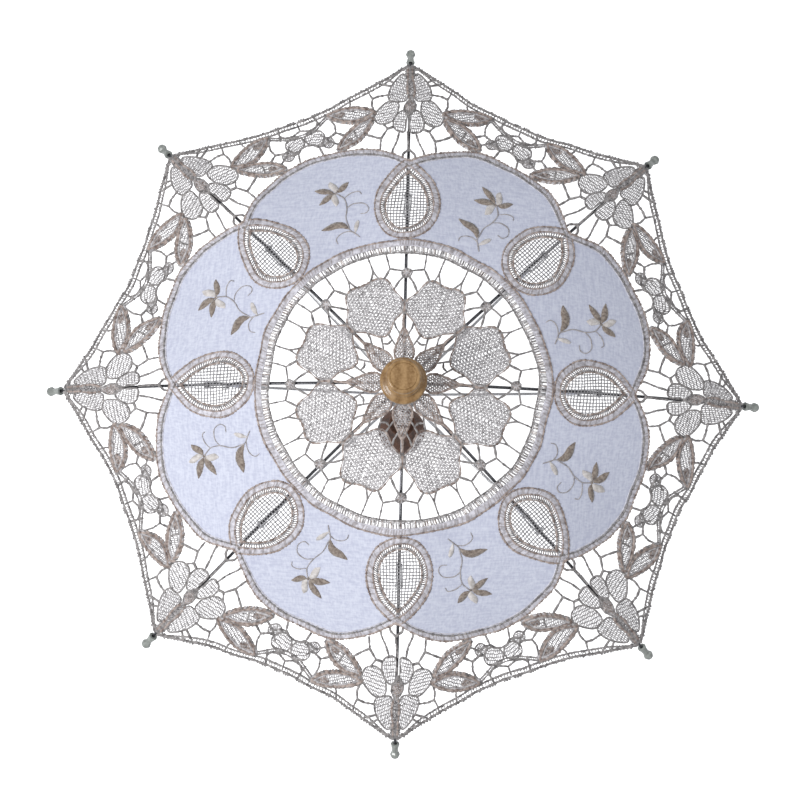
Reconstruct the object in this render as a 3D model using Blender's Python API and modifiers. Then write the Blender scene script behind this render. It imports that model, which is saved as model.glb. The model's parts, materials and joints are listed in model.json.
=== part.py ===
"""Lace parasol: turned handle and ferrule, tube shaft, crown, runner, eight folding ribs, lace canopy.

Metres, +Z up. The origin is the middle of the hand grip, on the shaft's axis. The parasol stands open.
Each rib turns on a wire ring in the crown. A stretcher joins the middle of each rib to the runner's
wire ring. The stretcher is as long as the rib's inner half, so the runner's pivots stay straight
below the crown's while the canopy folds.
"""

import math

import bmesh
import bpy
from mathutils import Matrix, Vector

MM = 0.001
GAP = 0.3 * MM
HOLE_CLEARANCE = 0.2 * MM
CUT_REACH = 6 * MM

# Frame
RIBS = 8
SECTOR = 2 * math.pi / RIBS
PIVOT_RADIUS = 7 * MM
CROWN_Z = 280 * MM
RIB_END_X = 203 * MM - PIVOT_RADIUS
RIB_END_DROP = 88 * MM
RIB_SAGITTA = 14 * MM
ROD_RADIUS = 0.9 * MM
EYE_RADIUS = 1.6 * MM
EYE_THICKNESS = 1.4 * MM
EYE_HOLE_RADIUS = 0.7 * MM
EYE_OVERLAP = 0.3 * MM
BOSS_THICKNESS = 1.7 * MM
ROD_SEGMENTS = 10
WIRE_RADIUS = 0.45 * MM
FORK_LENGTH = 11 * MM
FORK_WIDTH = 3.4 * MM
FORK_SLOT = 2.2 * MM
FORK_DEPTH = 2.2 * MM
FORK_OVERLAP = 1.6 * MM
FORK_END_EXTRA = 0.1 * MM
RIVET_HEAD_RADIUS = 0.95 * MM
RIVET_HEAD_THICKNESS = 0.45 * MM
RIVET_PLAY = 0.2 * MM

# Crown and runner
NOTCH_RADIUS = 9 * MM
NOTCH_SLOT_WIDTH = 2.4 * MM
NOTCH_SLOT_START = 5 * MM
NOTCH_SLOT_END = 14 * MM
NOTCH_SLOT_REACH = 12 * MM
NOTCH_BEVEL = 0.6 * MM
NOTCH_NECK_SLOPE = 1.0 * MM
NECK_RADIUS = 4.8 * MM
GROOVE_RADIUS = 6.2 * MM
GROOVE_HALF_HEIGHT = 0.7 * MM
CAP_TOP = 2.8 * MM
CAP_BOTTOM = 2.0 * MM
NOTCH_OPEN_SIDE = 2.5 * MM
NECK_LENGTH = 4.6 * MM
CROWN_NECK_LENGTH = 9 * MM
SLEEVE_RADIUS = 5.3 * MM
SLEEVE_LENGTH = 22 * MM
COLLAR_RADIUS = 6.9 * MM
COLLAR_BEVEL = 0.7 * MM
COLLAR_HEIGHT = 2 * MM
COLLAR_TAPER = 2 * MM
CROWN_PIN_DROP = 6.6 * MM

# Shaft
SHAFT_RADIUS = 3 * MM
SHAFT_BORE = 2.4 * MM
SHAFT_CLEARANCE = 0.2 * MM
SHAFT_BOTTOM = -20 * MM
SHAFT_TOP = 296 * MM
PIN_RADIUS = 0.6 * MM
PIN_RECESS = 0.1 * MM
STOP_PIN_HALF_LENGTH = 4.2 * MM
STOP_PIN_PLAY = 0.5 * MM
HANDLE_PIN_RADIUS = 1.0 * MM
HANDLE_PIN_Z = 30 * MM
HANDLE_PIN_HALF_LENGTH = 6.6 * MM
CATCH_AZIMUTH = SECTOR / 2
CATCH_THICKNESS = 1.0 * MM
CATCH_REACH = 5.0 * MM
CATCH_LENGTH = 21 * MM

# Handle and ferrule
HANDLE_TOP = 40 * MM
HANDLE_BOTTOM = -40 * MM
HANDLE_RADIUS = 15.5 * MM
HANDLE_WIDEST_Z = -20 * MM
HANDLE_FOOT_RADIUS = 10 * MM
GRIP_NECK_RADIUS = 6.9 * MM
GRIP_NECK_Z = 21 * MM
FERRULE_TOP = 316 * MM
FERRULE_BASE = 285.2 * MM
FERRULE_RADIUS = 13 * MM
FERRULE_TOP_RADIUS = 9.5 * MM
FERRULE_BUTTON_EDGE = 1.4 * MM
FERRULE_BUTTON_HEIGHT = 4.0 * MM
FERRULE_FLANGE_Z = 292.2 * MM
FERRULE_FLANGE_EDGE = 1.6 * MM

# Canopy
CANOPY_CORNER_RADIUS = 200 * MM
CANOPY_RIM_HOLLOW = 11 * MM
CANOPY_START_RADIUS = 11.5 * MM
CANOPY_OFFSET = 2.7 * MM
CANOPY_THICKNESS = 0.6 * MM
CANOPY_SAG = 2.5 * MM
CANOPY_HALF_SEAM = 0.2 * MM
CANOPY_ROWS = 8
ROSETTE_RADIUS = 12.6 * MM
ROSETTE_THICKNESS = 0.6 * MM
WASHER_RADIUS = 8 * MM

# Rib tips
BEAD_RADIUS = 2.9 * MM
BEAD_DISTANCE = 5 * MM
TIP_NECK_RADIUS = 1.9 * MM
TIP_SLEEVE_RADIUS = 2.6 * MM
TIP_SLEEVE_LENGTH = 3.2 * MM
TIP_BORE_RADIUS = 1.15 * MM
TIP_NECK_START = 0.8 * MM
TIP_SLEEVE_RIM = 0.6 * MM

# The rib's arc, seen from its pivot: x outward, z up. A point on it is found from its slope.
CHORD = math.hypot(RIB_END_X, RIB_END_DROP)
CHORD_SLOPE = math.atan2(RIB_END_DROP, RIB_END_X)
ARC_RADIUS = (CHORD * CHORD / 4 + RIB_SAGITTA**2) / (2 * RIB_SAGITTA)
HALF_ARC = math.asin(CHORD / 2 / ARC_RADIUS)
START_SLOPE = CHORD_SLOPE - HALF_ARC
END_SLOPE = CHORD_SLOPE + HALF_ARC


def rib_point(slope, offset=0.0):
    """(x, z) of the rib's arc where it falls at this slope, moved out of the arc by offset."""
    reach = ARC_RADIUS + offset
    x = reach * math.sin(slope) - ARC_RADIUS * math.sin(START_SLOPE)
    z = reach * math.cos(slope) - ARC_RADIUS * math.cos(START_SLOPE)
    return x, z


def slope_at(x, offset=0.0):
    """The slope of the arc at this distance outward from the pivot."""
    return math.asin((x + ARC_RADIUS * math.sin(START_SLOPE)) / (ARC_RADIUS + offset))


JOINT_X, JOINT_Z = rib_point(CHORD_SLOPE)
STRETCHER_LENGTH = math.hypot(JOINT_X, JOINT_Z)
STRETCHER_SLOPE = math.atan2(-JOINT_Z, JOINT_X)
RUNNER_Z = CROWN_Z + 2 * JOINT_Z


# ---------------------------------------------------------------- scene and helpers


def clear_scene():
    for obj in list(bpy.data.objects):
        bpy.data.objects.remove(obj)


def new_collection(name):
    collection = bpy.data.collections.new(name)
    bpy.context.scene.collection.children.link(collection)
    return collection


clear_scene()
PARTS = new_collection("lace_parasol")
CUTTERS = new_collection("cutters")


def material(name, color, roughness, metallic=0.0, alpha=1.0):
    found = bpy.data.materials.get(name)
    if found:
        return found
    made = bpy.data.materials.new(name)
    made.use_nodes = True
    shader = made.node_tree.nodes["Principled BSDF"]
    shader.inputs["Base Color"].default_value = (*color, 1.0)
    shader.inputs["Roughness"].default_value = roughness
    shader.inputs["Metallic"].default_value = metallic
    shader.inputs["Alpha"].default_value = alpha
    return made


def pale_wood():
    return material("pale_wood", (0.42, 0.23, 0.09), 0.35)


def dark_wood():
    return material("dark_wood", (0.13, 0.05, 0.025), 0.3)


def steel():
    return material("steel", (0.62, 0.62, 0.63), 0.3, metallic=1.0)


def black_steel():
    return material("black_steel", (0.03, 0.03, 0.035), 0.35, metallic=1.0)


def white_plastic():
    return material("white_plastic", (0.72, 0.72, 0.7), 0.4)


def tip_plastic():
    return material("tip_plastic", (0.62, 0.66, 0.6), 0.2)


def lace_cloth():
    return material("lace_cloth", (0.72, 0.66, 0.6), 0.85)


def place(name, mesh, finish, parent=None, collection=None):
    """A named object for this mesh, with its finish, under an optional parent."""
    obj = bpy.data.objects.new(name, mesh)
    if finish and not mesh.materials:
        mesh.materials.append(finish)
    (collection or PARTS).objects.link(obj)
    obj.parent = parent
    return obj


def cutter(name, mesh):
    obj = place(name, mesh, None, collection=CUTTERS)
    obj.hide_render = True
    obj.display_type = "WIRE"
    return obj


def boolean(obj, other, operation="DIFFERENCE"):
    change = obj.modifiers.new(f"{operation.lower()} {other.name}", "BOOLEAN")
    change.operation = operation
    change.object = other
    change.solver = "EXACT"


def finished_mesh(obj):
    """The object's mesh with its modifiers applied; the object itself is removed."""
    bpy.context.view_layer.update()
    evaluated = obj.evaluated_get(bpy.context.evaluated_depsgraph_get())
    mesh = bpy.data.meshes.new_from_object(evaluated)
    mesh.name = obj.name
    bpy.data.objects.remove(obj)
    return mesh


def smooth(mesh, angle=math.radians(35)):
    mesh.shade_smooth()
    mesh.set_sharp_from_angle(angle=angle)


def lathe_object(name, profile, steps, finish, closed=False, parent=None):
    """A turned piece about Z. The profile's (radius, z) points run down the outer side."""
    edges = [(i, i + 1) for i in range(len(profile) - 1)]
    if closed:
        edges.append((len(profile) - 1, 0))
    mesh = bpy.data.meshes.new(name)
    mesh.from_pydata([(r, 0, z) for r, z in profile], edges, [])
    obj = place(name, mesh, finish, parent)
    turn = obj.modifiers.new("turn", "SCREW")
    turn.steps = steps
    turn.render_steps = steps
    turn.use_merge_vertices = True
    turn.merge_threshold = 0.00001
    turn.use_smooth_shade = True
    return obj


def mesh_of(name, build):
    """A mesh filled by a function that adds shapes to a bmesh."""
    shapes = bmesh.new()
    build(shapes)
    mesh = bpy.data.meshes.new(name)
    shapes.to_mesh(mesh)
    shapes.free()
    return mesh


def add_rod(shapes, radius, start, end, sides=12):
    """A cylinder between two points."""
    start, end = Vector(start), Vector(end)
    along = end - start
    turn = along.to_track_quat("Z", "Y").to_matrix().to_4x4()
    bmesh.ops.create_cone(
        shapes,
        cap_ends=True,
        segments=sides,
        radius1=radius,
        radius2=radius,
        depth=along.length,
        matrix=Matrix.Translation((start + end) / 2) @ turn,
    )


def add_box(shapes, low, high, azimuth=0.0):
    """A box between two corners, turned about Z."""
    low, high = Vector(low), Vector(high)
    size = high - low
    middle = Matrix.Translation((low + high) / 2)
    spread = Matrix.Diagonal((*size, 1))
    turn = Matrix.Rotation(azimuth, 4, "Z")
    bmesh.ops.create_cube(shapes, size=1, matrix=turn @ middle @ spread)


def disc_across(name, radius, thickness, x, z=0.0, sides=10):
    """A disc whose axis is the local Y, for an eye, a boss or a hole."""
    half = thickness / 2
    return mesh_of(name, lambda s: add_rod(s, radius, (x, -half, z), (x, half, z), sides))


def arc_points(center_r, center_z, radius_r, radius_z, start, end, count):
    """Points of an ellipse arc for a turned profile; angles in degrees from +r towards +z."""
    angles = [math.radians(start + (end - start) * i / count) for i in range(count + 1)]
    return [(center_r + radius_r * math.cos(a), center_z + radius_z * math.sin(a)) for a in angles]


def empty(name, location, azimuth=0.0, parent=None, tilt=0.0):
    obj = bpy.data.objects.new(name, None)
    obj.empty_display_size = 0.01
    obj.location = location
    obj.rotation_euler = (0, tilt, azimuth)
    PARTS.objects.link(obj)
    obj.parent = parent
    return obj


# ---------------------------------------------------------------- shaft, handle and ferrule


def make_shaft():
    """The tube, with a slot for each catch and cross holes for its pins."""
    profile = [
        (SHAFT_BORE, SHAFT_TOP),
        (SHAFT_RADIUS, SHAFT_TOP),
        (SHAFT_RADIUS, SHAFT_BOTTOM),
        (SHAFT_BORE, SHAFT_BOTTOM),
    ]
    shaft = lathe_object("shaft", profile, 20, steel(), closed=True)
    half_width = CATCH_THICKNESS / 2 + HOLE_CLEARANCE

    def openings(shapes):
        for low, high in (top_catch_slot(), bottom_catch_slot()):
            add_box(shapes, (0.5 * MM, -half_width, low), (CUT_REACH, half_width, high), CATCH_AZIMUTH)
        for z, radius in (
            (HANDLE_PIN_Z, HANDLE_PIN_RADIUS),
            (STOP_PIN_Z, PIN_RADIUS),
            (CROWN_PIN_Z, PIN_RADIUS),
        ):
            add_rod(shapes, radius + HOLE_CLEARANCE, (0, -CUT_REACH, z), (0, CUT_REACH, z), 10)

    boolean(shaft, cutter("shaft_openings", mesh_of("shaft_openings", openings)))


def handle_outline():
    """The turned handle's outer side, from its top rim down to its flat foot."""
    bead = arc_points(6.4 * MM, 33.5 * MM, 2.2 * MM, 2.6 * MM, 80, -80, 5)
    grip = []
    steps = 7
    for i in range(steps):
        share = i / (steps - 1)
        z = GRIP_NECK_Z + (HANDLE_WIDEST_Z - GRIP_NECK_Z) * share
        swell = 0.5 - 0.5 * math.cos(math.pi * share)
        grip.append((GRIP_NECK_RADIUS + (HANDLE_RADIUS - GRIP_NECK_RADIUS) * swell, z))
    foot_height = HANDLE_WIDEST_Z - HANDLE_BOTTOM
    foot = arc_points(
        HANDLE_FOOT_RADIUS,
        HANDLE_WIDEST_Z,
        HANDLE_RADIUS - HANDLE_FOOT_RADIUS,
        foot_height,
        -16,
        -90,
        4,
    )
    rim = [(5.0 * MM, HANDLE_TOP), (5.8 * MM, HANDLE_TOP - 0.8 * MM), (5.8 * MM, 37 * MM)]
    return [*rim, *bead, (6.2 * MM, 29 * MM), (6.2 * MM, 25.5 * MM), *grip, *foot, (0, HANDLE_BOTTOM)]


def make_handle():
    bore = SHAFT_RADIUS + SHAFT_CLEARANCE
    blind_end = SHAFT_BOTTOM - GAP
    profile = [(0, blind_end), (bore, blind_end), (bore, HANDLE_TOP), *handle_outline()]
    handle = lathe_object("handle", profile, 20, dark_wood())
    hole = mesh_of(
        "handle_pin_hole",
        lambda s: add_rod(
            s,
            HANDLE_PIN_RADIUS + HOLE_CLEARANCE,
            (0, -20 * MM, HANDLE_PIN_Z),
            (0, 20 * MM, HANDLE_PIN_Z),
        ),
    )
    boolean(handle, cutter("handle_pin_hole", hole))
    make_pin("handle_pin", HANDLE_PIN_RADIUS, HANDLE_PIN_Z, HANDLE_PIN_HALF_LENGTH)


def make_pin(name, radius, z, half_length):
    """A cross pin along Y."""
    mesh = mesh_of(name, lambda s: add_rod(s, radius, (0, -half_length, z), (0, half_length, z), 10))
    smooth(mesh)
    place(name, mesh, steel())


def ferrule_outline():
    """The turned ferrule, from its flat top down over the button, the neck and the stepped flange."""
    edge = FERRULE_BUTTON_EDGE
    button_r = FERRULE_TOP_RADIUS - edge
    button = arc_points(button_r, FERRULE_TOP - 1.8 * MM, edge, 1.8 * MM, 90, 0, 3)
    button_foot = arc_points(button_r, FERRULE_TOP - FERRULE_BUTTON_HEIGHT, edge, 1.6 * MM, 0, -70, 2)
    neck = arc_points(9.3 * MM, 304.5 * MM, 3.6 * MM, 4.6 * MM, 130, 235, 4)
    ring = arc_points(7.6 * MM, 297.6 * MM, 2.0 * MM, 1.9 * MM, 65, -60, 4)
    step = [(9.0 * MM, 295.2 * MM), (11.2 * MM, 294.6 * MM)]
    flange_edge = FERRULE_FLANGE_EDGE
    flange = arc_points(FERRULE_RADIUS - flange_edge, FERRULE_FLANGE_Z, flange_edge, 2.2 * MM, 75, -80, 4)
    base = [(9.6 * MM, 287.6 * MM), (9.0 * MM, FERRULE_BASE)]
    return [*button, *button_foot, *neck, *ring, *step, *flange, *base]


def make_ferrule():
    bore = SHAFT_RADIUS + SHAFT_CLEARANCE
    inside = [(bore, FERRULE_BASE), (bore, SHAFT_TOP + GAP), (0, SHAFT_TOP + GAP)]
    profile = [(0, FERRULE_TOP), *ferrule_outline(), *inside]
    lathe_object("ferrule", profile, 20, pale_wood())


def make_ring(name, inner, outer, low, high, finish, steps=20):
    """A flat ring about the shaft."""
    profile = [(inner, high), (outer, high), (outer, low), (inner, low)]
    lathe_object(name, profile, steps, finish, closed=True)


# ---------------------------------------------------------------- crown and runner


CROWN_PIN_Z = CROWN_Z - CROWN_PIN_DROP
RUNNER_TOP = RUNNER_Z + NECK_LENGTH
STOP_PIN_Z = RUNNER_TOP + PIN_RADIUS + STOP_PIN_PLAY


def notch_slots(name, center_z, low, high):
    """Eight radial slots, each wide enough for one rod's eye."""
    half = NOTCH_SLOT_WIDTH / 2

    def build(shapes):
        for i in range(RIBS):
            corners = ((NOTCH_SLOT_START, -half, center_z + low), (NOTCH_SLOT_END, half, center_z + high))
            add_box(shapes, *corners, azimuth=i * SECTOR)

    return cutter(name, mesh_of(name, build))


def groove_profile(center_z, up):
    """The wire's groove in the notch's edge; up is 1 when the profile is read downwards."""
    half = GROOVE_HALF_HEIGHT * up
    return [
        (NOTCH_RADIUS, center_z + half),
        (GROOVE_RADIUS, center_z + half),
        (GROOVE_RADIUS, center_z - half),
        (NOTCH_RADIUS, center_z - half),
    ]


def make_crown():
    """The top notch: the ribs swing down out of its open lower side."""
    bore = SHAFT_RADIUS + SHAFT_CLEARANCE
    neck_foot = CROWN_Z - CROWN_NECK_LENGTH
    profile = [
        (bore, CROWN_Z + CAP_TOP),
        (NOTCH_RADIUS - NOTCH_BEVEL, CROWN_Z + CAP_TOP),
        (NOTCH_RADIUS, CROWN_Z + CAP_BOTTOM),
        *groove_profile(CROWN_Z, 1),
        (NOTCH_RADIUS, CROWN_Z - NOTCH_OPEN_SIDE),
        (NECK_RADIUS, CROWN_Z - NOTCH_OPEN_SIDE - NOTCH_NECK_SLOPE),
        (NECK_RADIUS, neck_foot),
        (bore, neck_foot),
    ]
    crown = lathe_object("crown", profile, 24, white_plastic(), closed=True)
    boolean(crown, notch_slots("crown_slots", CROWN_Z, -NOTCH_SLOT_REACH, CAP_BOTTOM))
    hole = mesh_of(
        "crown_pin_hole",
        lambda s: add_rod(
            s,
            PIN_RADIUS + HOLE_CLEARANCE,
            (0, -NOTCH_RADIUS, CROWN_PIN_Z),
            (0, NOTCH_RADIUS, CROWN_PIN_Z),
            10,
        ),
    )
    boolean(crown, cutter("crown_pin_hole", hole))
    make_pin("crown_pin", PIN_RADIUS, CROWN_PIN_Z, NECK_RADIUS - PIN_RECESS)
    make_wire("crown_wire", CROWN_Z)


def make_wire(name, z, parent=None):
    """The wire ring that the rods' eyes are threaded on."""
    bpy.ops.mesh.primitive_torus_add(
        major_radius=PIVOT_RADIUS,
        minor_radius=WIRE_RADIUS,
        major_segments=24,
        minor_segments=6,
    )
    made = bpy.context.object
    mesh = made.data
    bpy.data.objects.remove(made)
    smooth(mesh)
    wire = place(name, mesh, steel(), parent)
    wire.location.z = z
    return wire


def make_runner(hinge):
    """The sliding sleeve under the crown: the stretchers swing up out of its open upper side."""
    bore = SHAFT_RADIUS + SHAFT_CLEARANCE
    profile = [
        (bore, NECK_LENGTH),
        (NECK_RADIUS, NECK_LENGTH),
        (NECK_RADIUS, NOTCH_OPEN_SIDE + NOTCH_NECK_SLOPE),
        (NOTCH_RADIUS, NOTCH_OPEN_SIDE),
        *groove_profile(0, 1),
        (NOTCH_RADIUS, -CAP_BOTTOM),
        (NOTCH_RADIUS - NOTCH_BEVEL, -CAP_TOP),
        (SLEEVE_RADIUS, -CAP_TOP - 1.2 * MM),
        (SLEEVE_RADIUS, -SLEEVE_LENGTH + COLLAR_HEIGHT + COLLAR_TAPER),
        (COLLAR_RADIUS, -SLEEVE_LENGTH + COLLAR_HEIGHT),
        (COLLAR_RADIUS, -SLEEVE_LENGTH + COLLAR_BEVEL),
        (COLLAR_RADIUS - COLLAR_BEVEL, -SLEEVE_LENGTH),
        (bore, -SLEEVE_LENGTH),
    ]
    runner = lathe_object("runner", profile, 24, white_plastic(), closed=True, parent=hinge)
    runner.location = (-PIVOT_RADIUS, 0, 0)
    slots = notch_slots("runner_slots", 0, -CAP_BOTTOM, NOTCH_SLOT_REACH)
    slots.parent = hinge
    slots.location = runner.location
    boolean(runner, slots)
    wire = make_wire("runner_wire", 0, hinge)
    wire.location = runner.location


# ---------------------------------------------------------------- catches


def catch_curve(name, shoulder_z, up, axis_z):
    """A spring plate hinged inside the shaft. Its shoulder is at shoulder_z and faces up (1) or down (-1)."""
    outline = [
        (-1.6, 0.0),
        (-0.9, -0.7),
        (0.2, -0.7),
        (0.9, 0.0),
        (2.2, 6.0),
        (CATCH_REACH / MM, CATCH_LENGTH / MM - 2.2),
        (CATCH_REACH / MM, CATCH_LENGTH / MM - 1.2),
        (CATCH_REACH / MM - 0.6, CATCH_LENGTH / MM),
        (0.9, CATCH_LENGTH / MM),
        (-0.4, 6.0),
    ]
    curve = bpy.data.curves.new(name, "CURVE")
    curve.dimensions = "2D"
    curve.fill_mode = "BOTH"
    curve.extrude = CATCH_THICKNESS / 2
    spline = curve.splines.new("POLY")
    spline.points.add(len(outline) - 1)
    for point, (x, y) in zip(spline.points, outline, strict=True):
        point.co = (x * MM, up * y * MM, 0, 1)
    spline.use_cyclic_u = True
    catch = bpy.data.objects.new(name, curve)
    curve.materials.append(steel())
    PARTS.objects.link(catch)
    catch.location = (0, 0, axis_z)
    catch.rotation_euler = (math.pi / 2, 0, CATCH_AZIMUTH)
    assert abs(axis_z + up * CATCH_LENGTH - shoulder_z) < 1e-6
    return catch


RUNNER_FOOT = RUNNER_Z - SLEEVE_LENGTH
TOP_SHOULDER_Z = RUNNER_FOOT - GAP
TOP_CATCH_AXIS_Z = TOP_SHOULDER_Z - CATCH_LENGTH
CLOSED_ANGLE = math.radians(63.5)
CLOSED_RUNNER_Z = CROWN_Z - 2 * STRETCHER_LENGTH * math.sin(STRETCHER_SLOPE + CLOSED_ANGLE)
BOTTOM_SHOULDER_Z = CLOSED_RUNNER_Z + NECK_LENGTH + GAP
BOTTOM_CATCH_AXIS_Z = BOTTOM_SHOULDER_Z + CATCH_LENGTH


def top_catch_slot():
    """Lowest and highest z of the shaft's slot for the top catch."""
    return TOP_CATCH_AXIS_Z + 1.5 * MM, TOP_SHOULDER_Z + 1.0 * MM


def bottom_catch_slot():
    return BOTTOM_SHOULDER_Z - 1.0 * MM, BOTTOM_CATCH_AXIS_Z - 1.5 * MM


def make_catches():
    catch_curve("top_catch", TOP_SHOULDER_Z, 1, TOP_CATCH_AXIS_Z)
    catch_curve("bottom_catch", BOTTOM_SHOULDER_Z, -1, BOTTOM_CATCH_AXIS_Z)


# ---------------------------------------------------------------- ribs, stretchers and tips


def tube_mesh(name, points):
    """A round rod through these points, as a closed mesh."""
    curve = bpy.data.curves.new(name, "CURVE")
    curve.dimensions = "3D"
    curve.bevel_depth = ROD_RADIUS
    curve.bevel_resolution = 2
    curve.use_fill_caps = True
    spline = curve.splines.new("POLY")
    spline.points.add(len(points) - 1)
    for point, place_at in zip(spline.points, points, strict=True):
        point.co = (*place_at, 1)
    mesh = finished_mesh(place_curve(name, curve))
    shapes = bmesh.new()
    shapes.from_mesh(mesh)
    bmesh.ops.remove_doubles(shapes, verts=shapes.verts, dist=0.000001)
    bmesh.ops.recalc_face_normals(shapes, faces=shapes.faces)
    shapes.to_mesh(mesh)
    shapes.free()
    return mesh


def place_curve(name, curve):
    obj = bpy.data.objects.new(name, curve)
    PARTS.objects.link(obj)
    return obj


def rib_mesh():
    """One rib from its pivot: an eye on the crown's wire, the rod's arc, and a boss for the rivet."""
    first = slope_at(EYE_RADIUS - EYE_OVERLAP)
    slopes = [first + (END_SLOPE - first) * i / ROD_SEGMENTS for i in range(ROD_SEGMENTS + 1)]
    points = []
    for slope in slopes:
        x, z = rib_point(slope)
        points.append((x, 0, z))
    rib = place("rib", tube_mesh("rib_rod", points), None)
    boolean(rib, cutter("rib_eye", disc_across("rib_eye", EYE_RADIUS, EYE_THICKNESS, 0)), "UNION")
    boss = disc_across("rib_boss", EYE_RADIUS, BOSS_THICKNESS, JOINT_X, JOINT_Z)
    boolean(rib, cutter("rib_boss", boss), "UNION")
    for name, x, z in (("rib_eye_hole", 0, 0), ("rib_joint_hole", JOINT_X, JOINT_Z)):
        boolean(rib, cutter(name, disc_across(name, EYE_HOLE_RADIUS, CUT_REACH, x, z, sides=8)))
    mesh = finished_mesh(rib)
    smooth(mesh)
    return mesh


def stretcher_mesh():
    """One stretcher from its rivet: a fork that straddles the rib, the rod, and an eye at the runner."""
    rod_points = [(FORK_LENGTH, 0, 0), (STRETCHER_LENGTH - EYE_RADIUS + EYE_OVERLAP, 0, 0)]
    stretcher = place("stretcher", tube_mesh("stretcher_rod", rod_points), None)
    half_width, half_depth = FORK_WIDTH / 2, FORK_DEPTH / 2
    end = FORK_LENGTH + FORK_OVERLAP
    bar = mesh_of(
        "fork_bar",
        lambda s: add_box(s, (0, -half_width, -half_depth), (end, half_width, half_depth)),
    )
    boolean(stretcher, cutter("fork_bar", bar), "UNION")
    fork_end = disc_across("fork_end", EYE_RADIUS, FORK_WIDTH + FORK_END_EXTRA, 0)
    boolean(stretcher, cutter("fork_end", fork_end), "UNION")
    slot = mesh_of(
        "fork_slot",
        lambda s: add_box(
            s, (-CUT_REACH, -FORK_SLOT / 2, -CUT_REACH), (FORK_LENGTH, FORK_SLOT / 2, CUT_REACH)
        ),
    )
    boolean(stretcher, cutter("fork_slot", slot))
    eye = disc_across("stretcher_eye", EYE_RADIUS, EYE_THICKNESS, STRETCHER_LENGTH)
    boolean(stretcher, cutter("stretcher_eye", eye), "UNION")
    for name, x in (("fork_hole", 0), ("stretcher_eye_hole", STRETCHER_LENGTH)):
        boolean(stretcher, cutter(name, disc_across(name, EYE_HOLE_RADIUS, CUT_REACH, x, sides=8)))
    mesh = finished_mesh(stretcher)
    smooth(mesh)
    return mesh


def rivet_mesh():
    """A headed rivet along the local Z."""
    head = FORK_WIDTH / 2 + RIVET_PLAY
    end = head + RIVET_HEAD_THICKNESS
    profile = [
        (0, end),
        (RIVET_HEAD_RADIUS, end),
        (RIVET_HEAD_RADIUS, head),
        (WIRE_RADIUS, head),
        (WIRE_RADIUS, -head),
        (RIVET_HEAD_RADIUS, -head),
        (RIVET_HEAD_RADIUS, -end),
        (0, -end),
    ]
    return finished_mesh(lathe_object("rivet", profile, 6, None))


def tip_mesh():
    """A rib tip along the local Z: a flared sleeve over the rib's end, with a bead on it."""
    meet = math.degrees(math.acos(TIP_NECK_RADIUS / BEAD_RADIUS))
    bead = arc_points(0, BEAD_DISTANCE, BEAD_RADIUS, BEAD_RADIUS, 90, -meet, 6)
    profile = [
        (0, BEAD_DISTANCE + BEAD_RADIUS),
        *bead[1:],
        (TIP_NECK_RADIUS, TIP_NECK_START),
        (TIP_SLEEVE_RADIUS, -TIP_SLEEVE_LENGTH + TIP_SLEEVE_RIM),
        (TIP_SLEEVE_RADIUS, -TIP_SLEEVE_LENGTH),
        (TIP_BORE_RADIUS, -TIP_SLEEVE_LENGTH),
        (TIP_BORE_RADIUS, GAP),
        (0, GAP),
    ]
    return finished_mesh(lathe_object("tip", profile, 8, None))


# ---------------------------------------------------------------- canopy


def rim_radius(share):
    """The canopy's rim between two ribs, as the radius of the ribs it hangs level with."""
    return CANOPY_CORNER_RADIUS - CANOPY_RIM_HOLLOW * (1 - (1 - share) ** 2)


def canopy_point(share, side, reach):
    """A point of one panel: share 0 on the rib to 1 at the seam, reach 0 at the middle to 1 at the rim."""
    level = CANOPY_START_RADIUS + (rim_radius(share) - CANOPY_START_RADIUS) * reach
    slope = slope_at(level - PIVOT_RADIUS, CANOPY_OFFSET)
    _, z = rib_point(slope, CANOPY_OFFSET)
    half = SECTOR / 2
    radius = level * math.cos(half) / math.cos(half * (1 - share))
    angle = half * share
    if share == 1:
        angle -= math.asin(CANOPY_HALF_SEAM / radius)
    z -= CANOPY_SAG * math.sin(math.pi / 2 * share) ** 2 * level / CANOPY_CORNER_RADIUS
    return (
        radius * math.cos(angle) - PIVOT_RADIUS,
        side * radius * math.sin(angle),
        z,
    )


def panel_mesh():
    """One canopy panel, centred on its rib and ending half-way to the next ribs."""
    columns = [(-1, 1.0), (-1, 2 / 3), (-1, 1 / 3), (1, 0.0), (1, 1 / 3), (1, 2 / 3), (1, 1.0)]
    shapes = bmesh.new()
    grid = []
    for row in range(CANOPY_ROWS):
        reach = row / (CANOPY_ROWS - 1)
        grid.append([shapes.verts.new(canopy_point(share, side, reach)) for side, share in columns])
    for low, high in zip(grid, grid[1:]):
        for i in range(len(columns) - 1):
            shapes.faces.new((low[i], high[i], high[i + 1], low[i + 1]))
    mesh = bpy.data.meshes.new("canopy_panel")
    shapes.to_mesh(mesh)
    shapes.free()
    panel = place("canopy_panel", mesh, None)
    skin = panel.modifiers.new("cloth", "SOLIDIFY")
    skin.thickness = CANOPY_THICKNESS
    skin.offset = 0
    made = finished_mesh(panel)
    smooth(made)
    return made


# ---------------------------------------------------------------- assembly


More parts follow.
